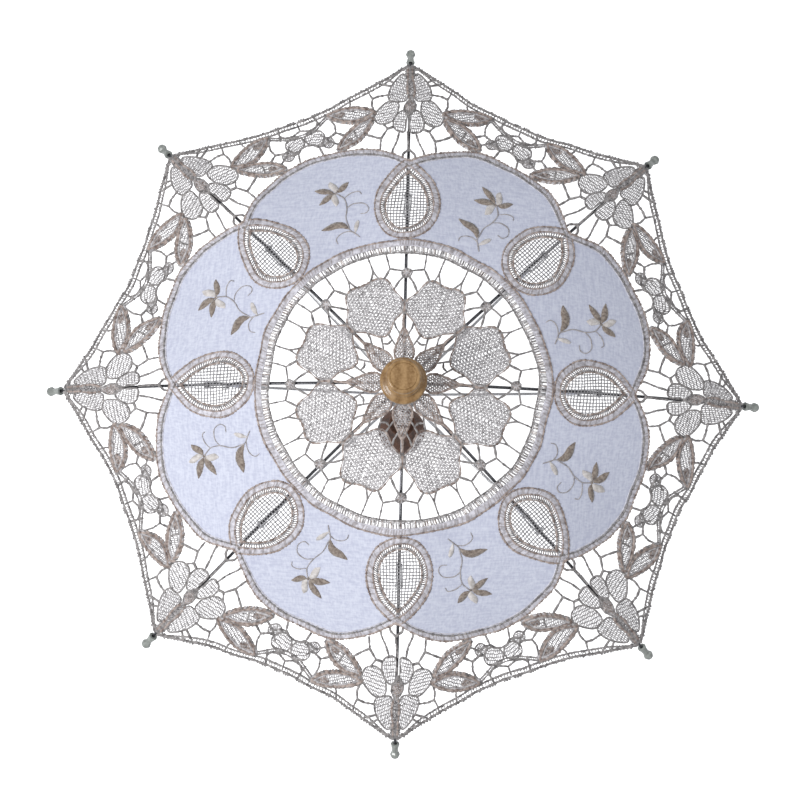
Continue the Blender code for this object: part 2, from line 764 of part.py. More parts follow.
def make_folding_frame():
    """Eight ribs with their tips, panels, rivets and stretchers. Returns the first stretcher's hinge."""
    rib, stretcher, rivet, tip, panel = (
        rib_mesh(),
        stretcher_mesh(),
        rivet_mesh(),
        tip_mesh(),
        panel_mesh(),
    )
    first = None
    for i in range(RIBS):
        number = i + 1
        azimuth = i * SECTOR
        pivot = (PIVOT_RADIUS * math.cos(azimuth), PIVOT_RADIUS * math.sin(azimuth), CROWN_Z)
        hinge = empty(f"rib_{number}_hinge", pivot, azimuth)
        place(f"rib_{number}", rib, black_steel(), hinge)
        place(f"canopy_panel_{number}", panel, lace_cloth(), hinge)
        tip_object = place(f"rib_tip_{number}", tip, tip_plastic(), hinge)
        tip_object.location = (RIB_END_X, 0, -RIB_END_DROP)
        tip_object.rotation_euler = (0, math.pi / 2 + END_SLOPE, 0)
        rivet_object = place(f"joint_rivet_{number}", rivet, steel(), hinge)
        rivet_object.location = (JOINT_X, 0, JOINT_Z)
        rivet_object.rotation_euler = (math.pi / 2, 0, 0)
        joint = empty(
            f"stretcher_{number}_hinge",
            (JOINT_X, 0, JOINT_Z),
            parent=hinge,
            tilt=math.pi - STRETCHER_SLOPE,
        )
        place(f"stretcher_{number}", stretcher, steel(), joint)
        first = first or joint
    return first


def main():
    make_shaft()
    make_handle()
    make_ferrule()
    make_crown()
    bore = SHAFT_RADIUS + SHAFT_CLEARANCE
    cap = CROWN_Z + CAP_TOP
    rosette_top = cap + GAP + ROSETTE_THICKNESS
    make_ring("canopy_rosette", bore, ROSETTE_RADIUS, cap + GAP, rosette_top, lace_cloth())
    make_ring("canopy_washer", bore, WASHER_RADIUS, rosette_top + GAP, FERRULE_BASE - GAP, steel())
    make_pin("stop_pin", PIN_RADIUS, STOP_PIN_Z, STOP_PIN_HALF_LENGTH)
    make_catches()
    make_folding_frame()
    make_runner(empty("runner_hinge", (PIVOT_RADIUS, 0, RUNNER_Z)))


main()
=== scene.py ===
"""Lace parasol: the looks. Lace, linen, embroidery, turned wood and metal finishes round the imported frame.

The canopy is drawn flat, in millimetres, for one rib's share: x outward along the rib, y across it and
h above the cloth. Each share is then turned to its rib and laid on the curve that the ribs hold.
"""

import json
import math

import bmesh
import bpy
import numpy as np
from mathutils import Matrix, Vector


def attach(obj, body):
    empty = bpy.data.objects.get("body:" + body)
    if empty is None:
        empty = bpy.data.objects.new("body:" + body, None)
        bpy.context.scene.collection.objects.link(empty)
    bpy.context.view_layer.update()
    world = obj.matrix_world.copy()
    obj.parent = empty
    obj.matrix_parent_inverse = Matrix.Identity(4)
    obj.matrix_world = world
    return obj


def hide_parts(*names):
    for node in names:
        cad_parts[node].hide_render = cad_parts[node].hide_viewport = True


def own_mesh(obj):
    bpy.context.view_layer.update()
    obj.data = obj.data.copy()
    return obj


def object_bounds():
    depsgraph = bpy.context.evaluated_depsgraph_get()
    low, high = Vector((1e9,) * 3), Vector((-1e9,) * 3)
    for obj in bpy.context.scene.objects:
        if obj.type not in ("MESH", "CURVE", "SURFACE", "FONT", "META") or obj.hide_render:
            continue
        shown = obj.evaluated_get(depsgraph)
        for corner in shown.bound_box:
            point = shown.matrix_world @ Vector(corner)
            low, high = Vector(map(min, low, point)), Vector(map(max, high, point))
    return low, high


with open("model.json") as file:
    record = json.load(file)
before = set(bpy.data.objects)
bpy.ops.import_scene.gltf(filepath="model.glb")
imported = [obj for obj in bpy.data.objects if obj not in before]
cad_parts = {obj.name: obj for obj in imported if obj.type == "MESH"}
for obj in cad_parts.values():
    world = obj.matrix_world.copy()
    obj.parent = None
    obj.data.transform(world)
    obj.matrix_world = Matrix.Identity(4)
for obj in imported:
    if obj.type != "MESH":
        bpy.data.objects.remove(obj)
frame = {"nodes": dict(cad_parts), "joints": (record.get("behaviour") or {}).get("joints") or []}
cad_low, cad_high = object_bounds()
nodes = frame["nodes"]
joints = {joint["name"]: joint for joint in frame["joints"]}

MM = 0.001
RIBS = 8
SECTOR = 2 * math.pi / RIBS
HALF = SECTOR / 2
HALF_DEGREES = math.degrees(HALF)

# The frame's curve, in millimetres
PIVOT_RADIUS = joints["rib_1_fold"]["pos_m"][0] / MM
PIVOT_Z = joints["rib_1_fold"]["pos_m"][2] / MM
RIB_END_X = 203 - PIVOT_RADIUS
RIB_END_DROP = 88
RIB_SAGITTA = 14
CLOTH_OFFSET = 2.4
CLOTH_SAG = 2.5
CORNER_RADIUS = 200
RIM_HOLLOW = 11
HUB_HEIGHT = 283.4
HUB_FLAT_RADIUS = 10
HUB_SLOPE_RADIUS = 24

CHORD = math.hypot(RIB_END_X, RIB_END_DROP)
ARC_RADIUS = (CHORD * CHORD / 4 + RIB_SAGITTA**2) / (2 * RIB_SAGITTA)
START_SLOPE = math.atan2(RIB_END_DROP, RIB_END_X) - math.asin(CHORD / 2 / ARC_RADIUS)

# The lace's main rings, in millimetres from the shaft along the cloth's plan
RING_INNER = 75.5
RING_LADDER = 80
RING_OUTER = 83.2
RING_RUNGS = 40
LOBE_DIP = 131.5
LOBE_TOP = 146
LOBE_WIDTH = 4
PATCH_CENTRE = 45.9
PATCH_RADIUS = 16.2
PATCH_LOBE = 1.5
KNOT_PLACE = 63
KNOT_SPOKES = 7

# Distances between the points along a drawn thread, in millimetres
CORD_STEP = 0.8
FINE_STEP = 0.7
LOOSE_STEP = 0.9

# Places in a lace piece's list of threads, and in the embroidery's
# The taupe thread is partly its own darker tone and partly painted shade: the darkness thin threads take
# against a bright ground
THREAD, TAUPE_AND_SHADE, RUST, SHADE = 0, 1, 2, 3
DARK_FLOSS, PALE_FLOSS, GREY_FLOSS = 0, 1, 2

random = np.random.default_rng(11)


# ---------------------------------------------------------------- the canopy's curve


def smooth_step(low, high, value):
    """From 0 at low to 1 at high, easing at both ends."""
    share = np.clip((value - low) / (high - low), 0, 1)
    return share * share * (3 - 2 * share)


def rib_height(level):
    """Height of the cloth on a rib, this far out from the shaft."""
    reach = ARC_RADIUS + CLOTH_OFFSET
    along = level - PIVOT_RADIUS + ARC_RADIUS * math.sin(START_SLOPE)
    drop = ARC_RADIUS * math.cos(START_SLOPE) - np.sqrt(reach**2 - along**2)
    cloth = PIVOT_Z - drop
    return cloth + (HUB_HEIGHT - cloth) * (1 - smooth_step(HUB_FLAT_RADIUS, HUB_SLOPE_RADIUS, level))


def rib_angle(x, y):
    """Angle from the nearest rib, always positive and rounded off over the rib."""
    angle = (np.arctan2(y, x) + HALF) % SECTOR - HALF
    softness = math.radians(0.7)
    return np.sqrt(angle**2 + softness**2)


def cloth_height(x, y):
    """The stretched cloth: level across each gore from rib to rib, with a slight sag and uneven tension."""
    radius = np.hypot(x, y)
    angle = rib_angle(x, y)
    level = radius * np.cos(HALF - angle) / math.cos(HALF)
    sag = CLOTH_SAG * np.sin(math.pi / 2 * angle / HALF) ** 2 * level / CORNER_RADIUS
    uneven = 0.45 * np.sin(x / 11 + 1.3 * np.sin(y / 17)) * np.sin(y / 13 + 0.8 * np.sin(x / 19))
    return rib_height(level) - sag + uneven * smooth_step(20, 60, radius) * np.minimum(angle / HALF, 1)


def wander(x, y):
    """How far a thread strays from its drawn place, as hand-fed embroidery does."""
    radius = np.hypot(x, y)
    held = smooth_step(14, 45, radius) * (1 - 0.7 * smooth_step(170, 195, radius))
    shift_x = 0.8 * np.sin(y / 9.1 + 0.6) * np.cos(x / 13.7) + 0.3 * np.sin(x / 3.9 + y / 5.3)
    shift_y = 0.8 * np.sin(x / 8.3 - 0.4) * np.cos(y / 14.9) + 0.3 * np.sin(y / 4.1 - x / 5.9)
    return x + shift_x * held, y + shift_y * held


def lay_on_canopy(points):
    """Flat lace points (x, y, h) moved onto the canopy's curve, in metres."""
    x, y = wander(points[:, 0], points[:, 1])
    step = 0.6
    z = cloth_height(x, y)
    slope_x = (cloth_height(x + step, y) - z) / step
    slope_y = (cloth_height(x, y + step) - z) / step
    length = np.sqrt(1 + slope_x**2 + slope_y**2)
    h = points[:, 2] / length
    return np.stack([x - slope_x * h, y - slope_y * h, z + h], -1) * MM


# ---------------------------------------------------------------- drawing threads and bands


class Layer:
    """Threads of one piece, drawn flat. Every face belongs to a finish, by its place in the piece's list."""

    def __init__(self):
        self.points = []
        self.faces = []
        self.finishes = []
        self.count = 0

    def add(self, points, faces, finish):
        self.points.append(np.asarray(points, float))
        self.faces.append(np.asarray(faces, int) + self.count)
        self.finishes.append(np.full(len(faces), finish, int))
        self.count += len(points)

    def arrays(self):
        return np.concatenate(self.points), np.concatenate(self.faces), np.concatenate(self.finishes)

    def take(self, other):
        points, faces, finishes = other
        self.points.append(points)
        self.faces.append(faces + self.count)
        self.finishes.append(finishes)
        self.count += len(points)


def mirrored(arrays):
    """The same threads on the rib's other side."""
    points, faces, finishes = arrays
    return points * (1, -1, 1), faces[:, ::-1], finishes


def turned(arrays, degrees):
    """The same threads, turned about the shaft."""
    points, faces, finishes = arrays
    flat = turn_flat(points[:, :2], degrees)
    return np.concatenate([flat, points[:, 2:]], 1), faces, finishes


def within_share(arrays):
    """Only the faces whose middle lies in this rib's share of the canopy."""
    points, faces, finishes = arrays
    middle = points[faces].mean(1)
    angle = np.arctan2(middle[:, 1], middle[:, 0])
    kept = (angle > -HALF) & (angle <= HALF)
    used, index = np.unique(faces[kept], return_inverse=True)
    return points[used], index.reshape(-1, 4), finishes[kept]


def turn_flat(points, degrees):
    """Flat points turned about the shaft."""
    angle = math.radians(degrees)
    x, y = np.asarray(points, float).T[:2]
    cos, sin = math.cos(angle), math.sin(angle)
    return np.stack([x * cos - y * sin, x * sin + y * cos], -1)


def circle(count):
    """Even points round a circle of radius 1."""
    turn = np.linspace(0, 2 * math.pi, count + 1)[:-1]
    return np.stack([np.cos(turn), np.sin(turn)], -1)


def polar(points):
    """Flat points given as (distance from the shaft, degrees from the rib)."""
    radius, degrees = np.asarray(points, float).T
    angle = np.radians(degrees)
    return np.stack([radius * np.cos(angle), radius * np.sin(angle)], -1)


def on_gore_line(points):
    """Flat points given along and across the line halfway between two ribs."""
    return turn_flat(points, HALF_DEGREES)


def curve_through(points, step, closed=False):
    """Even stations along a smooth curve through the points."""
    points = np.asarray(points, float)
    count = len(points)
    if closed:
        padded = np.concatenate([points[-1:], points, points[:2]])
    else:
        padded = np.concatenate([2 * points[:1] - points[1:2], points, 2 * points[-1:] - points[-2:-1]])
    share = np.linspace(0, 1, 9)[:-1, None]
    pieces = []
    for i in range(count if closed else count - 1):
        a, b, c, d = padded[i : i + 4]
        bend = 2 * a - 5 * b + 4 * c - d
        twist = 3 * b - a - 3 * c + d
        pieces.append(0.5 * (2 * b + (c - a) * share + bend * share**2 + twist * share**3))
    if not closed:
        pieces.append(points[-1:])
    return stations(np.concatenate(pieces), step, closed)


def stations(points, step, closed=False):
    """The path cut into even steps, near this length."""
    if closed:
        points = np.concatenate([points, points[:1]])
    lengths = np.hypot(*np.diff(points[:, :2], axis=0).T)
    along = np.concatenate([[0], np.cumsum(lengths)])
    count = max(2, round(along[-1] / step))
    places = np.linspace(0, along[-1], count + 1)
    if closed:
        places = places[:-1]
    return np.stack([np.interp(places, along, column) for column in points.T], -1)


def across(path, closed=False):
    """Unit vectors to the left of a flat path."""
    if closed:
        ahead = np.roll(path, -1, 0) - np.roll(path, 1, 0)
    else:
        ahead = np.gradient(path, axis=0)
    ahead = ahead[:, :2]
    ahead /= np.maximum(np.hypot(*ahead.T), 1e-9)[:, None]
    return np.stack([-ahead[:, 1], ahead[:, 0]], -1)


def loft(layer, rings, finish, closed):
    """A skin over rings of points, each seen counter-clockwise from ahead; open ends are capped.

    The finish is one number, or one for each stretch between two rings.
    """
    count, sides, _ = rings.shape
    index = np.arange(count * sides).reshape(count, sides)
    if closed:
        start, end = index, np.roll(index, -1, 0)
    else:
        start, end = index[:-1], index[1:]
    faces = np.stack([start, np.roll(start, -1, 1), np.roll(end, -1, 1), end], -1).reshape(-1, 4)
    skin = np.repeat(np.broadcast_to(finish, (len(start),)), sides)
    if not closed:
        caps = []
        for i in range(1, sides - 2, 2):
            corners = [0, i, i + 1, i + 2]
            caps += [index[0][corners][::-1], index[-1][corners]]
        faces = np.concatenate([faces, caps])
        skin = np.concatenate([skin, np.full(len(caps), skin[0])])
    layer.add(rings.reshape(-1, 3), faces, skin)


def add_cord(layer, path, radius, finish, height=0.0, sides=6, flat=0.85, lumps=0.0, closed=False, ends=0.45):
    """A round thread or cord; lumps are the uneven wraps of finer thread, as a share of its radius."""
    path = np.asarray(path, float)
    count = len(path)
    middle = path if path.shape[1] == 3 else np.concatenate([path, np.zeros((count, 1))], 1)
    middle = middle + (0, 0, height)
    size = np.broadcast_to(np.asarray(radius, float), (count,)) * (1 + lumps * random.uniform(-1, 1, count))
    if not closed:
        size = size.copy()
        size[0] *= ends
        size[-1] *= ends
    left = across(path, closed)
    turn = 2 * math.pi * (np.arange(sides) + 0.5) / sides
    rings = np.zeros((count, sides, 3))
    rings[:, :, :2] = left[:, None, :] * (size[:, None] * np.cos(turn))[:, :, None]
    rings[:, :, 2] = flat * size[:, None] * np.sin(turn)
    loft(layer, rings + middle[:, None, :], finish, closed)


def add_band(
    layer, path, width, finish, pitch,
    thickness=1.2, slant=0.25, closed=False, height=0.0, rough=0.08, sides=8, ridge=0.16,
):
    """A satin-stitched band along a path: every stitch crosses it as a ridge, leaning by slant.

    With several finishes, each stitch takes one of them.
    """
    count = max(3, round(path_length(path, closed) / pitch))
    dense = stations(np.asarray(path, float)[:, :2], 0.5, closed)
    total = count * 2 + (0 if closed else 1)
    places = np.arange(total) / (count * 2)
    share = np.linspace(0, 1, len(width)) if np.ndim(width) else None
    half_width = np.interp(places, share, width) / 2 if share is not None else np.full(total, width / 2)
    stitch = np.where(np.arange(total) % 2, 1 - ridge, 1.0)
    jitter = 1 + rough * random.uniform(-1, 1, total)
    if not closed and share is None:
        jitter[-1] = jitter[0]
    turn = 2 * math.pi * (np.arange(sides) + 0.5) / sides
    # A fuller shape than an ellipse, as wrapped thread makes
    out = np.sign(np.cos(turn)) * np.abs(np.cos(turn)) ** 0.8
    up = np.sin(turn)
    length = path_length(path, closed)
    along = places[:, None] + slant * out[None, :] * half_width[:, None] / length
    left = across(dense, closed)
    middle, sideways = sample(dense, along, closed), sample(left, along, closed)
    rings = np.zeros((total, sides, 3))
    rings[:, :, :2] = middle + sideways * (out[None, :] * (half_width * jitter)[:, None])[:, :, None]
    rise = thickness / 2 * np.minimum(1, half_width / (0.6 * half_width.max()))
    rings[:, :, 2] = height + up[None, :] * (rise * stitch)[:, None]
    loft(layer, rings, np.repeat(random.choice(np.atleast_1d(finish), count), 2), closed)


def path_length(path, closed):
    path = np.asarray(path, float)[:, :2]
    ends = np.concatenate([path, path[:1]]) if closed else path
    return float(np.hypot(*np.diff(ends, axis=0).T).sum())


def sample(values, places, closed):
    """Values read between stations; places run from 0 to 1 along the path, and a little past open ends."""
    count = len(values)
    reach = places * (count if closed else count - 1)
    if closed:
        low = np.floor(reach).astype(int)
        share = (reach - low)[..., None]
        return values[low % count] * (1 - share) + values[(low + 1) % count] * share
    low = np.clip(np.floor(reach).astype(int), 0, count - 2)
    share = (reach - low)[..., None]
    return values[low] * (1 - share) + values[low + 1] * share


def spans_inside(outline, degrees, pitch):
    """Straight lines at this angle and pitch, cut to the inside of an outline."""
    flat = turn_flat(outline, -degrees)
    nexts = np.roll(flat, -1, 0)
    low, high = flat[:, 1].min(), flat[:, 1].max()
    for row in np.arange(low + pitch / 2, high, pitch):
        crossing = (flat[:, 1] > row) != (nexts[:, 1] > row)
        a, b = flat[crossing], nexts[crossing]
        hits = np.sort(a[:, 0] + (row - a[:, 1]) / (b[:, 1] - a[:, 1]) * (b[:, 0] - a[:, 0]))
        for left, right in zip(hits[::2], hits[1::2]):
            if right - left > pitch:
                yield turn_flat([(left, row), (right, row)], degrees)


def add_hatching(layer, outline, degrees, pitch, radius, finish, wobble, weave, lumps=0.15, step=None):
    """Parallel threads that fill an outline.

    Wobble strays them sideways, and weave lifts them over and under the threads they cross.
    """
    step = step or pitch
    for number, span in enumerate(spans_inside(outline, degrees, pitch)):
        path = stations(span, step)
        count = len(path)
        path[1:-1] += random.uniform(-wobble, wobble, (count - 2, 2))
        lift = weave * np.where((np.arange(count) + number) % 2, 1.0, -1.0)
        add_cord(layer, np.concatenate([path, lift[:, None]], 1), radius, finish, sides=4, lumps=lumps)


def add_bride(layer, points, radius=0.64):
    """A thin bar of lace between two motifs: a few threads wrapped together."""
    path = stations(np.asarray(points, float), LOOSE_STEP)
    # The bars take the taupe thread, which is partly painted shade
    add_cord(layer, path, radius, TAUPE_AND_SHADE, lumps=0.28, flat=1.0, ends=1.0)


def add_knot(layer, place, size, finish=TAUPE_AND_SHADE):
    """A small worked knot where bars meet."""
    ring = np.asarray(place, float)[:2] + size * 0.55 * circle(8)
    add_cord(layer, ring, size * 0.5, finish, closed=True, lumps=0.15)


# ---------------------------------------------------------------- outer lace, one half of a share

LEAF_STITCHES = [TAUPE_AND_SHADE, RUST, RUST, THREAD]
SATIN_STITCHES = [THREAD, THREAD, SHADE]
SATIN_PITCH = 0.8
SATIN_RIDGE = 0.4

# Thin bars of the outer net, as (distance from the shaft, degrees from the rib)
NET_BARS = [
    [(178, 3.8), (177.7, 5.8), (176.4, 7.2), (171.7, 7.5), (167, 7.1)],
    [(176.4, 7.2), (180, 7.6), (184.5, 7.8)],
    [(179.2, 11.2), (175, 11.3), (171.5, 11.8)],
    [(186.5, 3), (189.5, 4.4)],
    [(184, 3.4), (186.8, 5.6)],
    [(173.5, 18.8), (169.5, 18.6), (166.7, 19.2), (165.2, 20.8), (167.3, 22.5)],
    [(169.5, 18.6), (166, 18.2)],
    [(167.3, 22.5), (172.5, 22.5)],
    [(170, 16.2), (163.5, 15.6), (158.8, 15.8), (155, 13.6)],
    [(158.8, 15.8), (157, 17.1), (156.1, 18.1), (160, 19.2)],
    [(156.1, 18.1), (154.4, 17.6), (153.2, 18.6), (152.4, 20.2)],
    [(154.4, 17.6), (150.4, 15.3)],
    [(152.4, 20.2), (145.6, 19.6)],
    [(157.6, 12.2), (152.6, 11.6), (147.6, 12.4)],
    [(152.4, 20.2), (154.6, 21.2), (155.2, 22.5)],
    [(151.5, 1.9), (145, 2.6), (139.5, 3.6), (137, 3.8)],
    [(154.6, 3.3), (153.6, 4.5), (147.5, 6), (141, 6.6)],
    [(153.6, 4.5), (158, 5.5)],
    [(147.5, 6), (148.6, 7), (153, 9.7)],
    [(139.4, 0), (136.5, 1.3), (134.5, 1.5)],
]
# Bars that lie on the rib's own line
RIB_BARS = [[(139.4, 0), (151.5, 0)], [(188, 0), (196, 0)]]

# Leaves by their two ends, and petals by their outline, as (outward, across)
OUTER_LEAF = [(165.2, 20.4), (164.6, 48.4)]
INNER_LEAF = [(161.4, 21.2), (141.3, 40.8)]
SIDE_PETAL = [
    (171.6, 6.6), (173, 12), (168.6, 17.4), (163.4, 20.4),
    (158.2, 18.6), (156.6, 14), (158.6, 9.6), (164, 6.8),
]
LOWER_PETAL = [(165.2, 0.8), (165.6, 4.8), (160.4, 8.4), (155, 8.9), (151.6, 6.2), (151.6, 1.6), (158, 0.9)]
UPPER_PETAL = [(173, 3.6), (178.6, 1.6), (187, 1.6), (192.2, 4.4), (186.4, 9.8), (179, 12.6), (173.6, 11.6)]
# The small blossom between two ribs: its arm as (distance, degrees), petals as (place, size, thread angle)
BLOSSOM_ARM = [(171, 16.4), (167.6, 18.2), (164.2, 20.2), (162.9, 22.6)]
BLOSSOM_PETALS = [((158.8, -5.9), 5.7, 20), ((153.2, -12.2), 3.6, -35)]


def rim_radius(degrees):
    """The canopy's rim, between two ribs, in the cloth's plan."""
    share = np.abs(degrees) / HALF_DEGREES
    level = CORNER_RADIUS - RIM_HOLLOW * (1 - (1 - share) ** 2)
    return level * math.cos(HALF) / np.cos(HALF * (1 - share))


def lobe_radius(degrees):
    """The linen's scalloped outer edge."""
    share = np.clip(np.abs(degrees) / HALF_DEGREES, 0, 1)
    return LOBE_DIP + (LOBE_TOP - LOBE_DIP) * (1 - (1 - share) ** 2.5)


def leaf_outline(ends, width, bend=0.0, fullness=0.75):
    """A closed pointed leaf between two ends."""
    start, end = np.asarray(ends, float)
    along = end - start
    sideways = np.array([-along[1], along[0]]) / np.hypot(*along)
    share = np.linspace(0, 1, 13)
    swell = np.sin(math.pi * share) ** fullness * width / 2
    curve = start + along * share[:, None] + sideways * (bend * np.sin(math.pi * share))[:, None]
    left = curve + sideways * swell[:, None]
    right = curve - sideways * swell[:, None]
    return np.concatenate([left, right[-2:0:-1]])


def shrunk(outline, distance):
    """An outline moved in by a distance, for a filling inside its border."""
    outline = np.asarray(outline, float)
    left = across(outline, closed=True)
    area = np.sum(outline[:, 0] * np.roll(outline[:, 1], -1) - outline[:, 1] * np.roll(outline[:, 0], -1))
    return outline + left * distance * (1 if area > 0 else -1)


def add_petal(layer, outline, degrees, border=0.5):
    """A petal of parallel threads in a corded outline."""
    edge_path = curve_through(outline, CORD_STEP, closed=True)
    add_hatching(layer, edge_path, degrees, 1.0, 0.38, THREAD, wobble=0.14, weave=0.12)
    add_hatching(layer, edge_path, degrees + 78, 1.9, 0.3, TAUPE_AND_SHADE, wobble=0.3, weave=0.3)
    add_cord(layer, edge_path, border, TAUPE_AND_SHADE, closed=True, lumps=0.25, height=0.1)


def add_corded_leaf(layer, ends, width, bend, cross_degrees):
    """A leaf of two thick wrapped cords, with threads across the gap and a rust-tinged end."""
    outline = leaf_outline(ends, width - 3.0, bend)
    path = stations(outline, CORD_STEP, closed=True)
    add_hatching(layer, path, cross_degrees, 1.0, 0.36, THREAD, wobble=0.15, weave=0.2)
    add_hatching(layer, path, cross_degrees + 70, 1.9, 0.3, TAUPE_AND_SHADE, wobble=0.2, weave=0.3)
    relief = {"thickness": 1.9, "slant": 0.9, "rough": 0.25, "ridge": 0.4}
    add_band(layer, path, 3.1, LEAF_STITCHES, 1.1, closed=True, **relief)
    add_cord(layer, path, 0.55, RUST, closed=True, lumps=0.6, height=0.75)
    add_cord(layer, shrunk(path, 1.3), 0.42, THREAD, closed=True, lumps=0.6, height=0.5)
    start, end = np.asarray(ends, float)
    tip = leaf_outline([start + (end - start) * 0.62, end + (end - start) * 0.02], width * 0.62, bend * 0.2)
    add_hatching(layer, tip, cross_degrees + 25, 0.6, 0.42, RUST, wobble=0.1, weave=0.1)


def outer_half():
    """The outer lace on one side of a rib, up to the line between two ribs."""
    layer = Layer()
    for points in NET_BARS:
        add_bride(layer, polar(points))
        for point in points[1:-1]:
            add_knot(layer, polar([point])[0], 0.55)
    add_corded_leaf(layer, OUTER_LEAF, 12.2, 0.9, 8)
    add_corded_leaf(layer, INNER_LEAF, 11.4, -0.3, 42)
    add_petal(layer, SIDE_PETAL, 28)
    add_petal(layer, LOWER_PETAL, 4)
    add_petal(layer, UPPER_PETAL, -12)
    for place, size, degrees in BLOSSOM_PETALS:
        ring = np.asarray(place) + size * (circle(12) * (0.92, 1))
        add_petal(layer, on_gore_line(ring), degrees, border=0.45)
    for inset in (0.9, -0.9):
        arm = polar([(radius + inset, degrees) for radius, degrees in BLOSSOM_ARM])
        add_cord(layer, curve_through(arm, CORD_STEP), 0.5, TAUPE_AND_SHADE, lumps=0.25)
    ladder_arm = curve_through(polar(BLOSSOM_ARM), 1.1)
    for place, side in zip(ladder_arm, across(ladder_arm)):
        add_cord(layer, stations(np.stack([place - side, place + side]), FINE_STEP), 0.26, THREAD, sides=4)
    add_edge_cords(layer)
    return layer.arrays()


def add_edge_cords(layer):
    """The lace's outer edge: two knotted cords that part at the corner, with a ladder of threads between."""
    degrees = np.linspace(0.55, HALF_DEGREES + 0.4, 140)
    outer = polar(np.stack([rim_radius(degrees) - 1.0, degrees], -1))
    add_cord(layer, stations(outer, 0.65), 0.7, TAUPE_AND_SHADE, lumps=0.3)
    opening = smooth_step(1.5, 5, degrees)
    inner = polar(np.stack([rim_radius(degrees) - 1.9 - 1.9 * opening, degrees], -1))
    add_cord(layer, stations(inner, 0.65), 0.55, TAUPE_AND_SHADE, lumps=0.3)
    rungs = np.arange(2.2, HALF_DEGREES, 0.56)
    for angle in rungs:
        lean = random.uniform(-0.12, 0.12)
        ends = [(rim_radius(angle) - 1.0, angle), (rim_radius(angle) - 3.8, angle + lean)]
        add_cord(layer, stations(polar(ends), LOOSE_STEP), 0.34, TAUPE_AND_SHADE, sides=4, lumps=0.2)
    for angle in np.arange(1.5, HALF_DEGREES, 0.5):
        side = random.choice([-3.2, 0.0, 0.2])
        radius = rim_radius(angle) - 0.35 + side
        add_knot(layer, polar([(radius + random.uniform(-0.2, 0.2), angle)])[0], random.uniform(0.5, 0.9))


def outer_middle():
    """What lies on the rib's own line: bars, the flower's heart and the wrapped corner."""
    layer = Layer()
    for points in RIB_BARS:
        add_bride(layer, polar(points))
    heart = leaf_outline([(161.5, 0), (175.5, 0)], 6.5, fullness=1.0)
    add_hatching(layer, heart, 52, 0.8, 0.36, THREAD, wobble=0.15, weave=0.2)
    add_hatching(layer, heart, -52, 0.8, 0.36, RUST, wobble=0.15, weave=0.2)
    add_cord(layer, stations(heart, CORD_STEP, closed=True), 0.6, TAUPE_AND_SHADE, closed=True, lumps=0.25)
    stem_bed = leaf_outline([(171, 0), (193, 0)], 6.4, fullness=0.8)
    add_hatching(layer, stem_bed, 40, 1.0, 0.38, TAUPE_AND_SHADE, wobble=0.2, weave=0.2)
    add_hatching(layer, stem_bed, -40, 1.0, 0.38, THREAD, wobble=0.2, weave=0.2)
    for side in (-1, 1):
        stem = np.array([(175, 1.5), (181, 2.2), (187, 1.6), (196.5, 1.2)]) * (1, side)
        add_cord(layer, curve_through(stem, CORD_STEP), 0.75, RUST, lumps=0.3)
    for place in np.arange(189.5, 198, 0.85):
        wrap = stations(np.array([(place, -3.1), (place + random.uniform(-0.4, 0.4), 3.1)]), CORD_STEP)
        add_cord(layer, wrap, 0.42, TAUPE_AND_SHADE, height=random.uniform(0, 0.3), lumps=0.2)
    for side in (-1, 1):
        corner = [(198.2, 0.6 * side), (197.4, 2.2 * side), (194.5, 4.4 * side)]
        add_cord(layer, curve_through(corner, FINE_STEP), 0.75, TAUPE_AND_SHADE, lumps=0.3)
    return layer.arrays()


# ---------------------------------------------------------------- windows on the ribs

# Half of a drop-shaped window's outline, from its pointed outer end to the ring, as (outward, across)
WINDOW_EDGE = [
    (132.5, 0), (129.5, 5.4), (122.5, 12.2), (113.5, 17), (104, 18.8),
    (95, 16.8), (88, 11.4), (84.6, 5.2), (84, 0),
]
SATIN_WIDTH = 4.2
WINDOW_LADDER = 2.6
NET_PITCH = 1.8


def window_outline(step):
    """The whole outline of a window."""
    right = np.array(WINDOW_EDGE)
    left = right[-2:0:-1] * (1, -1)
    return curve_through(np.concatenate([right, left]), step, closed=True)


def window_satin():
    """The satin border of a window, with a cord on each edge."""
    layer = Layer()
    outline = window_outline(0.6)
    middle = shrunk(outline, SATIN_WIDTH / 2)
    relief = {"thickness": 1.5, "slant": 0.4, "rough": 0.12, "ridge": SATIN_RIDGE}
    add_band(layer, middle, SATIN_WIDTH, SATIN_STITCHES, SATIN_PITCH, closed=True, **relief)
    add_cord(layer, shrunk(outline, 0.1), 0.48, RUST, closed=True, lumps=0.55, height=0.3)
    add_cord(layer, shrunk(outline, SATIN_WIDTH - 0.7), 0.42, RUST, closed=True, lumps=0.55, height=0.4)
    return layer.arrays()


def window_net():
    """The open net in a window, its thin corded edge and the ladder that joins it to the satin."""
    layer = Layer()
    outline = window_outline(CORD_STEP)
    inner = shrunk(outline, SATIN_WIDTH + WINDOW_LADDER)
    add_cord(layer, inner, 0.5, RUST, closed=True, lumps=0.6)
    second = shrunk(outline, SATIN_WIDTH + WINDOW_LADDER - 0.9)
    add_cord(layer, second, 0.34, THREAD, closed=True, lumps=0.3)
    near = shrunk(outline, SATIN_WIDTH - 0.6)
    count = len(near)
    far = stations(inner, path_length(inner, True) / count, closed=True)
    for i in range(min(count, len(far))):
        sway = 2 if i % 2 else -1
        rung = np.stack([near[i], far[(i + sway) % len(far)]])
        add_cord(layer, stations(rung, 1.0), 0.3, random.choice([THREAD, TAUPE_AND_SHADE, RUST]), sides=4, lumps=0.35)
    for degrees, radius in ((0, 0.36), (90, 0.33)):
        add_hatching(layer, inner, degrees, NET_PITCH, radius, THREAD, wobble=0.1, weave=0.14)
    return layer.arrays()


# ---------------------------------------------------------------- rings of satin


